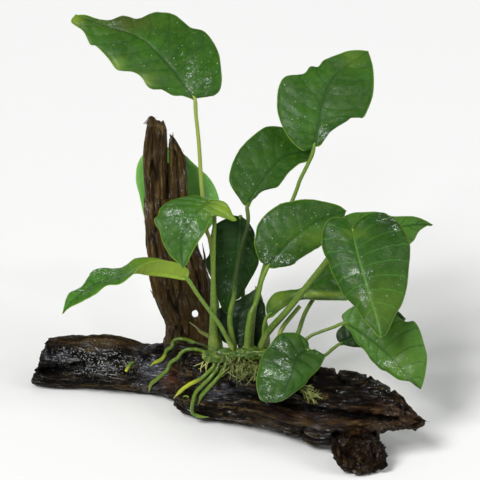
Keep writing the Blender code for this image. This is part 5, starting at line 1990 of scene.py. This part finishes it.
@dataclass
class Driftwood:
    """The forked piece of wood, cut from the six solids that carry it.

    Its skin is made in two lengths that overlap inside the upright, so that each can be fine. Both
    take their grain from the same guides, so the overlap doesn't show. The prongs are sunk into the
    upright by `prong_sink_mm` below the place `prong_down` of the sheet.
    """

    voxel_mm: tuple[float, float] = (0.60, 0.43)
    swell_mm: float = 0.30
    parting: Place = (92, 146, -13)
    overlap_mm: float = 1.2
    prong_down: float = 98.0
    prong_sink_mm: float = 1.5
    branches: tuple[Branch, ...] = BRANCHES
    carves: tuple[Carve, ...] = CARVES
    patches: tuple[Patch, ...] = WOOD_PATCHES

    def skin(self, upper: bool) -> tuple[bpy.types.Mesh, BVHTree, list[int]]:
        """Joins copies of the solids and gives them one fine, even skin.

        Args:
            upper: Whether it is the length above the parting.

        Returns:
            The mesh, a search tree of the solids and each of its faces' branch number.
        """
        shaped = bmesh.new()
        owners = []
        for number, branch in enumerate(self.branches):
            if branch.upper is not None and branch.upper != upper:
                continue
            part = bmesh.new()
            part.from_mesh(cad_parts[branch.node].data)
            bmesh.ops.remove_doubles(part, verts=part.verts, dist=1e-6)
            part.normal_update()
            for vertex in part.verts:
                vertex.co += vertex.normal * self.swell_mm * MM
                if branch.upper and on_sheet(vertex.co)[1] > self.prong_down:
                    vertex.co -= UP * self.prong_sink_mm * MM
            if branch.upper is None:
                self.shorten(part, upper)
            mesh = bpy.data.meshes.new("part")
            part.to_mesh(mesh)
            part.free()
            shaped.from_mesh(mesh)
            owners.extend([number] * len(mesh.polygons))
            bpy.data.meshes.remove(mesh)
        shaped.faces.ensure_lookup_table()
        tree = BVHTree.FromBMesh(shaped)
        joined = bpy.data.meshes.new("joined")
        shaped.to_mesh(joined)
        shaped.free()
        carrier = link(bpy.data.objects.new("carrier", joined))
        remesh = carrier.modifiers.new("even", "REMESH")
        remesh.mode = "VOXEL"
        remesh.voxel_size = self.voxel_mm[upper] * MM
        bpy.context.view_layer.update()
        graph = bpy.context.evaluated_depsgraph_get()
        mesh = bpy.data.meshes.new_from_object(carrier.evaluated_get(graph))
        carrier.modifiers.remove(remesh)
        bpy.data.objects.remove(carrier)
        bpy.data.meshes.remove(joined)
        return mesh, tree, owners

    def shorten(self, part: bmesh.types.BMesh, upper: bool) -> None:
        """Cuts the upright a little past the parting and closes the cut.

        Args:
            part: The upright's mesh, which is changed.
            upper: Whether the length above the parting is kept.
        """
        way = -1.0 if upper else 1.0
        spot = place(self.parting) + UP * way * self.overlap_mm * MM
        geometry = [*part.verts, *part.edges, *part.faces]
        cut = bmesh.ops.bisect_plane(
            part, geom=geometry, plane_co=spot, plane_no=UP * way, clear_outer=True
        )
        rim = [item for item in cut["geom_cut"] if isinstance(item, bmesh.types.BMEdge)]
        bmesh.ops.holes_fill(part, edges=rim)

    def shape(self, upper: bool) -> bpy.types.Mesh:
        """Cuts grain, cracks, hollows and broken ends into the skin.

        Args:
            upper: Whether it is the length above the parting.

        Returns:
            The mesh, with the attributes that its finish reads.
        """
        mesh, tree, owners = self.skin(upper)
        guides = [GrainGuide(branch, 31.0 * number) for number, branch in enumerate(self.branches)]
        lines = [(carve, [Vector(at) for at in smooth_path(list(carve.line), 12)]) for carve in self.carves]
        numbers = {"tone": [], "ridge": [], "rust": [], "grey_sheen": [], "hollow_shade": [], "drops": []}
        flow = []
        moved = []
        for vertex in mesh.vertices:
            point, normal = vertex.co.copy(), vertex.normal.copy()
            guide = guides[owners[tree.find_nearest(point)[2]]]
            grain = guide.read(point)
            height, ridge, dark = guide.height(grain)
            across, down, _ = on_sheet(point)
            seen = ease(normal.dot(OUT), -0.05, 0.25)
            for carve, line in lines:
                shown = seen if not carve.round else ease(normal.dot(OUT), -0.8, -0.3)
                if shown <= 0.0 or not carve.near(across, down):
                    continue
                ragged = 1.0 + 0.35 * noise.noise(point * 260.0)
                share = ragged - nearest_on(line, across, down) / carve.wide
                if share > 0.0:
                    depth = ease(share, 0.0, 0.8) * shown
                    height -= carve.deep * depth
                    dark = max(dark, carve.dark * depth)
            step = normal * height + guide.tear(grain, normal)
            rise = ease(point.z / MM, 0.1, 3.0)
            to = point + step * (MM * rise)
            to.z = max(to.z, 0.0)
            moved.append(to)
            stains = dict.fromkeys(("tone", "rust", "grey_sheen", "drops"), 0.0)
            for patch in self.patches:
                stains[patch.kind] += patch.weight(across, down) * (seen if patch.kind == "drops" else 1.0)
            # Ridges are a little browner too, part of their painted highlight.
            numbers["tone"].append(guide.branch.tone + stains["tone"] + 0.25 * ridge - 0.1)
            numbers["ridge"].append(ridge * guide.branch.pale)
            numbers["rust"].append(min(stains["rust"], 1.0))
            numbers["grey_sheen"].append(min(stains["grey_sheen"], 1.0))
            numbers["drops"].append(stains["drops"])
            numbers["hollow_shade"].append(min(dark, 1.0))
            flow.extend((grain.x * 0.09 * MM, grain.y * MM, grain.z * MM))
        for vertex, to in zip(mesh.vertices, moved):
            vertex.co = to
        store(mesh, numbers)
        mesh.attributes.new("flow", "FLOAT_VECTOR", "POINT").data.foreach_set("vector", flow)
        fix_normals(mesh)
        return mesh

    def build(self) -> list[bpy.types.Object]:
        """Makes the wood's two lengths in place of its six solids.

        Returns:
            The two pieces.
        """
        made = []
        for upper, name in enumerate(("driftwood_arms", "driftwood_upright")):
            nodes = tuple(each.node for each in self.branches if each.upper in (None, bool(upper)))
            made.append(dress(name, self.shape(bool(upper)), nodes, Finish.WOOD))
        return made


class GrainGuide:
    """Reads places along and across the grain of one branch."""

    def __init__(self, branch: Branch, seed: float) -> None:
        """Lays out the branch's middle line.

        Args:
            branch: The branch.
            seed: Where its pattern starts, so that no two branches repeat each other.
        """
        self.branch = branch
        self.seed = seed
        points = [place(at) / MM for at in smooth_path(list(branch.line), GUIDE_POINTS)]
        self.points = points
        self.step = (points[-1] - points[0]).length / (len(points) - 1)
        self.frames = []
        for index in range(len(points)):
            ahead = points[min(index + 1, GUIDE_POINTS - 1)] - points[max(index - 1, 0)]
            ahead.normalize()
            front = (OUT - ahead * OUT.dot(ahead)).normalized()
            self.frames.append((ahead, front, ahead.cross(front)))
        self.search = Search(points)

    def read(self, point: Vector) -> Vector:
        """Finds a point's place in the grain.

        Args:
            point: The point, in metres.

        Returns:
            How far it is along the grain and each of the two ways across it, in millimetres.
        """
        here = point / MM
        index = self.search.nearest(here)
        ahead, front, side = self.frames[index]
        away = here - self.points[index]
        return Vector((index * self.step + away.dot(ahead), away.dot(front), away.dot(side)))

    def height(self, grain: Vector) -> tuple[float, float, float]:
        """How the wood stands out at a place of the grain.

        Args:
            grain: The place, as read.

        Returns:
            The height in millimetres, how much it is a ridge, and how strongly painted shade darkens a
            crack.
        """
        branch, along, x, y = self.branch, grain.x, grain.y, grain.z
        start = Vector((self.seed, self.seed * 0.7, 0.0))
        strands = noise.noise(start + Vector((along / 16, x / 1.9, y / 1.9)))
        fine = noise.noise(start + Vector((along / 6, x / 0.9, y / 0.9)))
        lumps = noise.noise(start + Vector((along / 13, x / 8, y / 8)))
        split = noise.noise(start + Vector((along / 24, x / 3.6, y / 3.6 + 40)))
        where = ease(noise.noise(start + Vector((along / 20, x / 7, y / 7 + 90))), -0.15, 0.25)
        crack = ease(1.0 - abs(split) * 10.0, 0.0, 0.9) * where
        crust = abs(noise.noise(start + Vector((along / 4.5, x / 2.6, y / 2.6 + 20)))) - 0.2
        height = branch.lumps * lumps + branch.strands * strands + 0.16 * fine - branch.cracks * crack
        layer = noise.noise(start + Vector((along / 26, x / 2.4, y / 2.4 + 60)))
        layer = math.floor(3.0 * layer + 0.5) / 3.0
        height += branch.chunks * (0.7 * crust + 0.45 * layer) - 0.15
        ridge = ease(strands + 0.5 * fine, 0.05, 0.6)
        return height, ridge, crack * 0.85

    def tear(self, grain: Vector, normal: Vector) -> Vector:
        """How far a point of a broken end is pushed in along the grain.

        Args:
            grain: The point's place, as read.
            normal: The way that the surface looks there.

        Returns:
            The step, in millimetres.
        """
        length = self.step * (GUIDE_POINTS - 1)
        for end, deep in enumerate(self.branch.torn):
            ahead = self.frames[-end][0] * (1 if end else -1)
            from_end = length - grain.x if end else grain.x
            if deep and from_end < 6.0 and normal.dot(ahead) > 0.2:
                ragged = 0.5 + 0.5 * noise.noise(Vector((self.seed, grain.y / 0.9, grain.z / 0.9)))
                fade = ease(6.0 - from_end, 0.0, 4.0) * ease(normal.dot(ahead), 0.2, 0.7)
                return ahead * (-deep * ragged * fade)
        return Vector()


class Search:
    """Finds the nearest of a line's points, a coarse step first."""

    def __init__(self, points: list[Vector]) -> None:
        """Keeps the points."""
        self.points = points

    def nearest(self, point: Vector) -> int:
        """Finds the nearest point.

        Args:
            point: Where to look from.

        Returns:
            The nearest point's number.
        """
        coarse = range(0, len(self.points), SEARCH_STEP)
        start = min(coarse, key=lambda at: (self.points[at] - point).length_squared)
        span = range(max(start - SEARCH_STEP, 0), min(start + SEARCH_STEP + 1, len(self.points)))
        return min(span, key=lambda at: (self.points[at] - point).length_squared)


def nearest_on(line: list[Vector], across: float, down: float) -> float:
    """How far a place of the sheet is from a line.

    Args:
        line: The line's places, across and down.
        across: The place's way from the sheet's left edge, in millimetres.
        down: Its distance from the top edge.

    Returns:
        The distance in millimetres.
    """
    at = Vector((across, down))
    best = 1e9
    for start, end in zip(line, line[1:]):
        way = end - start
        share = min(max((at - start).dot(way) / way.length_squared, 0.0), 1.0)
        best = min(best, (start + way * share - at).length)
    return best


def front_of(tree: BVHTree, across: float, down: float) -> float | None:
    """How far out the front of the wood is at a place of the sheet.

    Args:
        tree: The wood's surface.
        across: The place's way from the sheet's left edge, in millimetres.
        down: Its distance from the top edge.

    Returns:
        The distance out in millimetres, or None beside the wood.
    """
    start = place((across, down, 90.0))
    aim = (place((across, down, 80.0)) - start).normalized()
    hit = tree.ray_cast(start, aim)[0]
    return None if hit is None else on_sheet(hit)[2]


def laid_on(tree: BVHTree, path: list[Place], lift: float, count: int) -> list[Place]:
    """Lays a path on the front of the wood.

    Args:
        tree: The wood's surface.
        path: Across and down places.
        lift: How far out of the surface the path runs, in millimetres.
        count: How many places to return.

    Returns:
        Places that follow the surface smoothly.
    """
    fine = smooth_path(path, count)
    outs = [front_of(tree, *at) for at in fine]
    lowest = min(out for out in outs if out is not None)
    outs = [(lowest if out is None else out) + lift for out in outs]
    for _ in range(12):
        raised = [max(b, (a + b + c) / 3) for a, b, c in zip(outs, outs[1:], outs[2:])]
        outs = [outs[0], *raised, outs[-1]]
    for _ in range(4):
        eased = [(a + 2 * b + c) / 4 for a, b, c in zip(outs, outs[1:], outs[2:])]
        outs = [outs[0], *eased, outs[-1]]
    return [(*at, out) for at, out in zip(fine, outs)]


class Strands:
    """Gathers lines of points and gives them one round skin."""

    def __init__(self) -> None:
        """Starts with no lines."""
        self.points: list[Vector] = []
        self.edges: list[tuple[int, int]] = []
        self.numbers: dict[str, list[float]] = {"thickness": [], "along": [], "mark": [], "shade": []}

    def add(
        self,
        line: list[Vector],
        thickness: list[float],
        along: list[float],
        mark: Any = 0.0,
        shade: Any = 0.0,
    ) -> None:
        """Adds a line.

        Args:
            line: Its points, in metres.
            thickness: Its radius at each point, in metres.
            along: What its finish reads as the way along it, from 0 to 1.
            mark: How much of the mark colour it shows, all along or at each point.
            shade: How dark it lies under the leaves, all along or at each point.
        """
        first = len(self.points)
        self.points.extend(line)
        self.edges.extend((first + at, first + at + 1) for at in range(len(line) - 1))
        self.numbers["thickness"].extend(thickness)
        self.numbers["along"].extend(along)
        self.numbers["mark"].extend(mark if isinstance(mark, list) else [mark] * len(line))
        self.numbers["shade"].extend(shade if isinstance(shade, list) else [shade] * len(line))

    def skin(
        self, tree: bpy.types.NodeTree, sides: int, finish: Finish, lumps: tuple[float, float]
    ) -> bpy.types.Mesh:
        """Runs the tree on the lines.

        Args:
            tree: The tree that skins lines.
            sides: How many sides the skin has.
            finish: The finish.
            lumps: How fine the unevenness is, and its height in millimetres.

        Returns:
            The mesh.
        """
        mesh = new_mesh("lines", self.points, self.edges, [])
        store(mesh, self.numbers)
        values = {
            "Sides": sides,
            "Lump size": lumps[0],
            "Lump height": lumps[1] * MM,
            "Finish": finish.get(),
        }
        made = run_nodes(tree, mesh, values)
        fix_normals(made)
        return made


@dataclass
class CreepingStem:
    """The thick green stem that the stalks rise from, ringed with the scars of old leaves."""

    path: tuple[Place, ...] = (
        (102.2, 178.2, 13), (110, 177.5, 16.5), (118, 177.3, 18.5), (126, 177, 20.5), (134, 177.5, 23),
        (142, 179.5, 27), (149.5, 181.5, 30.5),
    )
    swelling: tuple[float, ...] = (2.9, 4.3, 3.0, 3.5, 2.7, 3.3, 2.5)
    sides: int = 40
    rings: int = 110
    scar_mm: float = 3.1

    def build(self) -> bpy.types.Object:
        """Makes the stem in place of its solid.

        Returns:
            The piece.
        """
        line = [place(at) / MM for at in smooth_path(list(self.path), self.rings)]
        length = sum((b - a).length for a, b in zip(line, line[1:]))
        points, along, mark = [], [], []
        for index, centre in enumerate(line):
            ahead = (line[min(index + 1, self.rings - 1)] - line[max(index - 1, 0)]).normalized()
            front = (OUT - ahead * OUT.dot(ahead)).normalized()
            side = ahead.cross(front)
            share = index / (self.rings - 1)
            radius = at_share(list(self.swelling), share)
            for number in range(self.sides):
                turn = 2 * math.pi * number / self.sides
                way = front * math.cos(turn) + side * math.sin(turn)
                wobble = noise.noise(way * 1.3 + Vector((share * 9.0, 0, 0)))
                scar = (share * length + 0.9 * wobble + 0.5 * math.cos(turn)) / self.scar_mm
                ring = math.exp(-(((scar % 1.0) - 0.5) / 0.11) ** 2)
                bumps = noise.noise(way * 2.2 + Vector((share * 16.0, 3.0, 0)))
                reach = radius * (0.95 + 0.20 * wobble + 0.26 * bumps) + 0.10 * ring
                reach *= 1.0 - 0.12 * ease(1.2 - share * length, 0.0, 1.2)
                points.append((centre + way * reach) * MM)
                along.append(0.25 + 0.45 * share + 0.35 * wobble + 0.3 * bumps)
                worn = 0.20 * ring + 0.40 * ease(bumps, 0.10, 0.6)
                mark.append(min(worn + 0.9 * ease(1.6 - share * length, 0.0, 1.2), 1.0))
        points += [line[0] * MM + (line[1] - line[0]).normalized() * 0.5 * MM, line[-1] * MM]
        along += [0.9, 0.8]
        mark += [0.5, 0.0]
        mesh = new_mesh("creeping_stem", points, [], ring_faces(self.rings, self.sides))
        fix_normals(mesh)
        store(mesh, {"along": along, "mark": mark})
        return dress("creeping_stem", mesh, ("rhizome",), Finish.RHIZOME)


def ring_faces(rings: int, sides: int) -> list[tuple[int, ...]]:
    """Numbers the faces between rings of points, with a fan to a middle point at each end.

    Args:
        rings: How many rings there are.
        sides: How many points a ring has. The two middle points follow the last ring.

    Returns:
        Each face's point numbers.
    """
    faces = []
    for ring in range(rings - 1):
        for side in range(sides):
            a = ring * sides + side
            b = ring * sides + (side + 1) % sides
            faces.append((a, b, b + sides, a + sides))
    start, end = rings * sides, rings * sides + 1
    last = (rings - 1) * sides
    for side in range(sides):
        after = (side + 1) % sides
        faces.append((after, side, start))
        faces.append((last + side, last + after, end))
    return faces


@dataclass
class Roots:
    """The thick roots that grip the wood, and the tangles of fine ones between them."""

    wood: BVHTree
    stem: BVHTree
    skin: bpy.types.NodeTree
    radius_mm: float = 1.05
    sides: int = 14
    paths: tuple[tuple[Place, ...], ...] = (
        (
            (103.6, 174.4), (101.5, 172.8), (98.5, 172), (94.5, 170.3), (90.7, 169.5), (87.8, 169.9),
            (86.4, 171.5), (86, 173.5), (83.5, 175), (82.3, 178), (80.3, 180), (77, 181.5), (75.2, 183.2),
        ),
        (
            (103, 177.3), (100.5, 175.3), (96, 174.6), (92.5, 175.2), (90.3, 177), (88.9, 179),
            (86, 180.8), (84.7, 182.5), (84, 184.8), (81.5, 187), (78, 190), (75.4, 192.2), (74.5, 196),
        ),
        (
            (107.5, 179), (107, 183), (104.3, 186), (101, 189), (98, 190.6), (94.5, 192.4), (90.7, 195.2),
            (87, 199),
        ),
        (
            (110, 180), (108.8, 184), (105, 189), (101.2, 192.8), (98, 196.2), (96.6, 200.5), (96, 204.5),
            (97, 207), (100.3, 208.3), (104.3, 208.6),
        ),
        ((113, 180), (112, 185), (108, 190), (104, 194.3), (100.8, 198), (99.2, 202)),
    )
    bright: tuple[float, ...] = (0.75, 0.65, 1.1, 0.45, 0.4)
    short: tuple[Place, ...] = ((91.8, 198.2), (93, 198), (94.3, 198.5))
    loose: tuple[Place, ...] = ((66.6, 181.1), (64.5, 183), (63, 185.5))

    def thick(self) -> None:
        """Makes the five thick roots, the short one and the broken-off end."""
        for number, path in enumerate(self.paths, start=1):
            self.root(f"root_{number}", list(path), self.radius_mm, 0.25, self.bright[number - 1])
        self.root("root_short", list(self.short), 0.7, 0.6, 0.8)
        self.root("root_loose_end", list(self.loose), 0.9, 0.9, 1.0)

    def root(self, name: str, path: list[Place], radius: float, tip: float, bright: float) -> None:
        """Makes one root.

        Args:
            name: The root's name, which its solid has too.
            path: Across and down places along it.
            radius: Its radius in millimetres.
            tip: How thick its end is, as a share of the radius.
            bright: How bright its far end is.
        """
        length = sum(distance(a, b) for a, b in zip(path, path[1:]))
        count = max(12, round(length / 0.6))
        line = laid_on(self.wood, path, radius * 0.72, count)
        radii, along = [], []
        for index, at in enumerate(line):
            share = index / (count - 1)
            knots = 0.10 * noise.noise(Vector((share * length / 2.2, radius, len(name))))
            thin = tip + (1.0 - tip) * ease((1.0 - share) * length, 0.0, 5.0)
            radii.append(radius * MM * (1.0 + knots) * thin)
            along.append(0.15 + 0.85 * share * bright)
        strands = Strands()
        strands.add([place(at) for at in line], radii, along)
        mesh = strands.skin(self.skin, self.sides, Finish.ROOT, (700.0, 0.22))
        dress(name, mesh, (name,), Finish.ROOT)

    def tangle(self, name: str, tufts: tuple["Tuft", ...]) -> None:
        """Makes a tangle of fine roots in place of the lump that stands for it.

        Args:
            name: The tangle's name, which its solid has too.
            tufts: Where its fine roots start and how they grow.
        """
        strands = Strands()
        for tuft in tufts:
            chance = random.Random(tuft.seed)
            for _ in range(tuft.count):
                line = self.rootlet(tuft, chance)
                radius = chance.uniform(*tuft.radius) * MM
                share = [index / (len(line) - 1) for index in range(len(line))]
                thick = [radius * (1.0 - 0.5 * part**2) for part in share]
                tone = chance.uniform(0.0, 0.5)
                pale = max(tuft.pale, chance.choice((0.0, 0.0, 0.1, 0.35)))
                strands.add(line, thick, [tone + 0.5 * part for part in share], pale)
        mesh = strands.skin(self.skin, 6, Finish.ROOTLET, (900.0, 0.05))
        dress(name, mesh, (name,), Finish.ROOTLET)

    def rootlet(self, tuft: "Tuft", chance: random.Random) -> list[Vector]:
        """Grows one fine root over the stem and the wood.

        Args:
            tuft: How it grows.
            chance: The tangle's random numbers.

        Returns:
            Its points, in metres.
        """
        across, down, out = between(tuft.start, tuft.end, chance.random())
        across += chance.gauss(0.0, 0.6)
        down += chance.uniform(-0.5, tuft.deep)
        turn = math.radians(chance.uniform(*tuft.fan))
        bend = chance.gauss(0.0, 0.05)
        length = chance.uniform(*tuft.length)
        lift = chance.uniform(0.1, tuft.proud)
        steps = max(6, round(length / 0.6))
        line = []
        for step in range(steps):
            front = front_of(self.stem, across, down)
            ahead = step / (steps - 1)
            raised = lift * (0.35 + math.sin(math.pi * min(ahead * 1.25, 1.0)))
            out = raised + (front if front is not None else line[-1][2] - raised if line else out)
            line.append((across, down, out))
            turn += bend + chance.gauss(0.0, 0.11)
            across += math.sin(turn) * length / steps
            down += math.cos(turn) * length / steps
        outs = [spot[2] for spot in line]
        for _ in range(3):
            outs = [outs[0], *((a + b + c) / 3 for a, b, c in zip(outs, outs[1:], outs[2:])), outs[-1]]
        fine = smooth_path([(*spot[:2], out) for spot, out in zip(line, outs)], steps * 2)
        return [place(spot) for spot in fine]


@dataclass(frozen=True)
class Tuft:
    """How a tangle of fine roots grows.

    They start along the line from `start` to `end`, up to `deep` below it, turned by the degrees
    of `fan` from straight down, and stand up to `proud` off the wood. `pale` is the least share of
    the mark's colour. Sizes are in millimetres.
    """

    start: Place
    end: Place
    deep: float
    fan: tuple[float, float]
    length: tuple[float, float]
    radius: tuple[float, float]
    proud: float
    count: int
    seed: int
    pale: float = 0.0


MIDDLE_TUFT = Tuft(
    (112.5, 178.0, 20), (133.0, 179.0, 24),
    deep=8.0,
    fan=(-60, 55),
    length=(4.0, 10.5),
    radius=(0.17, 0.33),
    proud=2.6,
    count=125,
    seed=4,
)
PALE_TUFT = Tuft(
    (101.5, 180.5, 5), (105.0, 181, 8),
    deep=1.0,
    fan=(-44, -34),
    length=(4.5, 6.5),
    radius=(0.20, 0.28),
    proud=0.5,
    count=6,
    seed=21,
    pale=1.0,
)
RIGHT_TUFT = Tuft(
    (150, 192.5, 44), (156, 198, 46),
    deep=2.0,
    fan=(20, 130),
    length=(3.0, 6.5),
    radius=(0.20, 0.34),
    proud=2.0,
    count=46,
    seed=9,
    pale=0.12,
)


@dataclass
class Fibres:
    """Torn splinters at the broken ends of the wood, which follow its grain."""

    skin: bpy.types.NodeTree
    tufts: tuple[tuple[Place, Place, float, int], ...] = (
        ((74.5, 62, 6), (77, 57.8, 7.5), 2.6, 14),
        ((79.5, 63.5, 6), (81, 59.5, 7), 1.8, 8),
        ((85.8, 70, 5.2), (86.3, 66, 5.8), 0.9, 7),
        ((90.3, 79, 2.5), (91, 73.5, 3.2), 1.2, 12),
        ((74.4, 120, -4), (72.4, 113.5, -3.5), 0.5, 4),
        ((77.5, 149, -12), (74.2, 143, -11.5), 0.5, 5),
        ((207, 210, 45.5), (213.8, 211, 45.5), 2.0, 14),
    )
    spike: tuple[Place, ...] = (
        (101.2, 121.5, -8), (101.7, 125, -8.4), (102.4, 129.5, -9), (101.8, 138, -10.5),
    )
    points: int = 6
    spike_points: int = 10

    def build(self, seed: int) -> None:
        """Makes all the splinters as one piece.

        Args:
            seed: The start of the random numbers.
        """
        chance = random.Random(seed)
        strands = Strands()
        for start, end, spread, count in self.tufts:
            for _ in range(count):
                shift = [chance.uniform(-spread, spread) for _ in range(2)]
                reach = chance.uniform(0.45, 1.0)
                line = []
                for step in range(self.points):
                    at = between(start, end, step / (self.points - 1) * reach)
                    bend = 0.25 * math.sin(step * 0.8 + shift[0] * 3)
                    line.append(place((at[0] + shift[0] + bend, at[1] + bend * 0.5, at[2] + shift[1])))
                radius = chance.uniform(0.12, 0.27) * MM
                thick = [radius * (1.0 - 0.16 * step) for step in range(self.points)]
                strands.add(line, thick, [0.3] * self.points, chance.uniform(0.0, 0.8))
        line = [place(at) for at in smooth_path(list(self.spike), self.spike_points)]
        thick = [(0.1 + 0.14 * step) * MM for step in range(self.spike_points)]
        strands.add(line, thick, [0.1] * self.spike_points, 0.1)
        mesh = strands.skin(self.skin, 5, Finish.FIBRE, (900.0, 0.1))
        dress("wood_splinters", mesh, (), Finish.FIBRE)


@dataclass
class Plant:
    """All leaves with their stalks, the cut-off stalk and the dry sheath."""

    skin: bpy.types.NodeTree
    stub: tuple[Place, ...] = (
        (138.5, 177.5, 24.5), (139.5, 170, 24.5), (141.5, 163.5, 25), (150, 153, 27.5),
    )
    sheath: tuple[Place, ...] = (
        (94.5, 161, 17), (98, 163.5, 18), (100.3, 166, 18.4), (103, 167.3, 18), (105.6, 168.8, 17),
    )
    sides: int = 16
    lumps: tuple[float, float] = (420.0, 0.12)
    points: int = 36

    def leaves(self) -> list[bpy.types.Object]:
        """Makes each leaf's blade and stalk.

        Returns:
            The blades.
        """
        blades = []
        for make in LEAVES:
            leaf = make()
            name, finish = leaf.name + "_blade", leaf.look.finish
            blades.append(dress(name, leaf.blade_mesh(), (name,), finish))
            line, numbers = leaf.stalk_line()
            strands = Strands()
            strands.add(line, **numbers)
            mesh = strands.skin(self.skin, self.sides, Finish.STALK, self.lumps)
            name = leaf.name + "_stalk"
            dress(name, mesh, (name,), Finish.STALK)
        return blades

    def small_parts(self) -> None:
        """Makes the cut-off stalk and the dry sheath."""
        for name, path, radii, finish in (
            ("stalk_stub", self.stub, (1.5, 1.2, 1.1, 1.0), Finish.STALK),
            ("bud_sheath", self.sheath, (0.15, 0.7, 1.2), Finish.SHEATH),
        ):
            line = [place(at) for at in smooth_path(list(path), self.points)]
            share = [index / (self.points - 1) for index in range(self.points)]
            thick = [at_share(list(radii), part) * MM for part in share]
            dry = [0.9 * math.exp(-(((part - 0.35) / 0.16) ** 2)) for part in share]
            strands = Strands()
            strands.add(line, thick, share, dry)
            mesh = strands.skin(self.skin, self.sides, finish, self.lumps)
            dress(name, mesh, (name,), finish)


def scatter_drops(
    carriers: list[bpy.types.Object],
    name: str,
    size: tuple[float, float],
    density: float,
    seed: int,
) -> None:
    """Scatters water drops on pieces, as one piece of its own.

    Args:
        carriers: The pieces that the drops lie on.
        name: The drops' name.
        size: The smallest and largest drop's radius in millimetres.
        density: How many lie on a square metre where the surface is wettest.
        seed: The start of the random numbers.
    """
    tree = bpy.data.node_groups.get("scattered_drops") or drop_nodes()
    made = []
    for number, carrier in enumerate(carriers):
        values = {
            "Density": density,
            "Smallest": size[0] * MM,
            "Largest": size[1] * MM,
            "Seed": seed + number,
            "Finish": Finish.WATER.get(),
        }
        made.append(run_nodes(tree, carrier.data.copy(), values))
    dress(name, merged(name, made), (), Finish.WATER)


@dataclass
class Studio:
    """The camera, the pale floor and soft lights.

    The floor lies `below_m` under the part, so that the two don't flicker into each other.
    """

    floor_m: float = 60.0
    below_m: float = 0.0001
    lens: float = 150.0
    nearest_m: float = 0.05
    farthest_m: float = 100.0
    daylight: float = 0.26

    def build(self) -> None:
        """Adds the floor, the world's light, the lamps and the camera."""
        half = self.floor_m / 2
        ways = ((-half, -half), (half, -half), (half, half), (-half, half))
        corners = [Vector((x, y, -self.below_m)) for x, y in ways]
        floor = link(bpy.data.objects.new("floor", new_mesh("floor", corners, [], [(0, 1, 2, 3)])))
        floor.data.materials.append(Finish.FLOOR.get())
        world = bpy.data.worlds.new("studio")
        world.use_nodes = True
        sky = world.node_tree.nodes["Background"].inputs
        sky["Color"].default_value = colour("#f4f6f8")
        sky["Strength"].default_value = self.daylight
        bpy.context.scene.world = world
        self.lamp("key", "SUN", (-0.45, -0.55, 0.80), 0.42, 2.6)
        self.lamp("fill", "SUN", (0.75, -0.35, 0.75), 0.60, 0.9)
        self.lamp("spark_left", "AREA", (-0.30, -0.75, 0.62), 0.05, 0.7)
        self.lamp("spark_right", "AREA", (0.22, -0.50, 0.95), 0.05, 0.6)
        bpy.context.scene.view_settings.view_transform = "Standard"
        data = bpy.data.cameras.new("camera")
        data.lens = self.lens
        data.clip_start = self.nearest_m
        data.clip_end = self.farthest_m
        camera = link(bpy.data.objects.new("camera", data))
        eye = (REST_SHIFT + OUT * VIEWER_AWAY) * MM
        turned = Matrix((UP.cross(OUT), UP, OUT)).transposed().to_4x4()
        camera.matrix_world = Matrix.Translation(eye) @ turned
        bpy.context.scene.camera = camera

    def lamp(self, name: str, kind: str, at: Place, size: float, power: float) -> None:
        """Adds a soft light aimed at the plant.

        Args:
            name: Its name.
            kind: SUN for a far window, AREA for a small square lamp.
            at: Where it hangs, in metres. Of a SUN only the way to it counts.
            size: The angle in radians that a SUN fills, or the side of an AREA in metres.
            power: A SUN's strength in watts a square metre, or an AREA's in watts.
        """
        data = bpy.data.lights.new(name, kind)
        data.energy = power
        if kind == "SUN":
            data.angle = size
        else:
            data.shape, data.size = "SQUARE", size
        lamp = link(bpy.data.objects.new(name, data))
        aim = Vector((0.0, 0.0, 0.09)) - Vector(at)
        lamp.matrix_world = Matrix.Translation(at) @ aim.to_track_quat("-Z", "Y").to_matrix().to_4x4()


def main() -> None:
    """Builds the whole object and the studio."""
    logging.basicConfig(level=logging.INFO, format="%(message)s")
    skin = skin_nodes()
    wood = Driftwood().build()
    stem = CreepingStem().build()
    roots = Roots(surface_tree(wood), surface_tree([*wood, stem]), skin)
    roots.thick()
    roots.tangle("root_tangle_middle", (MIDDLE_TUFT, PALE_TUFT))
    roots.tangle("root_tangle_right", (RIGHT_TUFT,))
    Fibres(skin).build(12)
    plant = Plant(skin)
    blades = plant.leaves()
    plant.small_parts()
    scatter_drops(blades, "water_drops", (0.09, 0.24), 40000.0, 5)
    scatter_drops(wood, "wood_drops", (0.12, 0.26), 60000.0, 50)
    Studio().build()


if __name__ == "__main__":
    main()
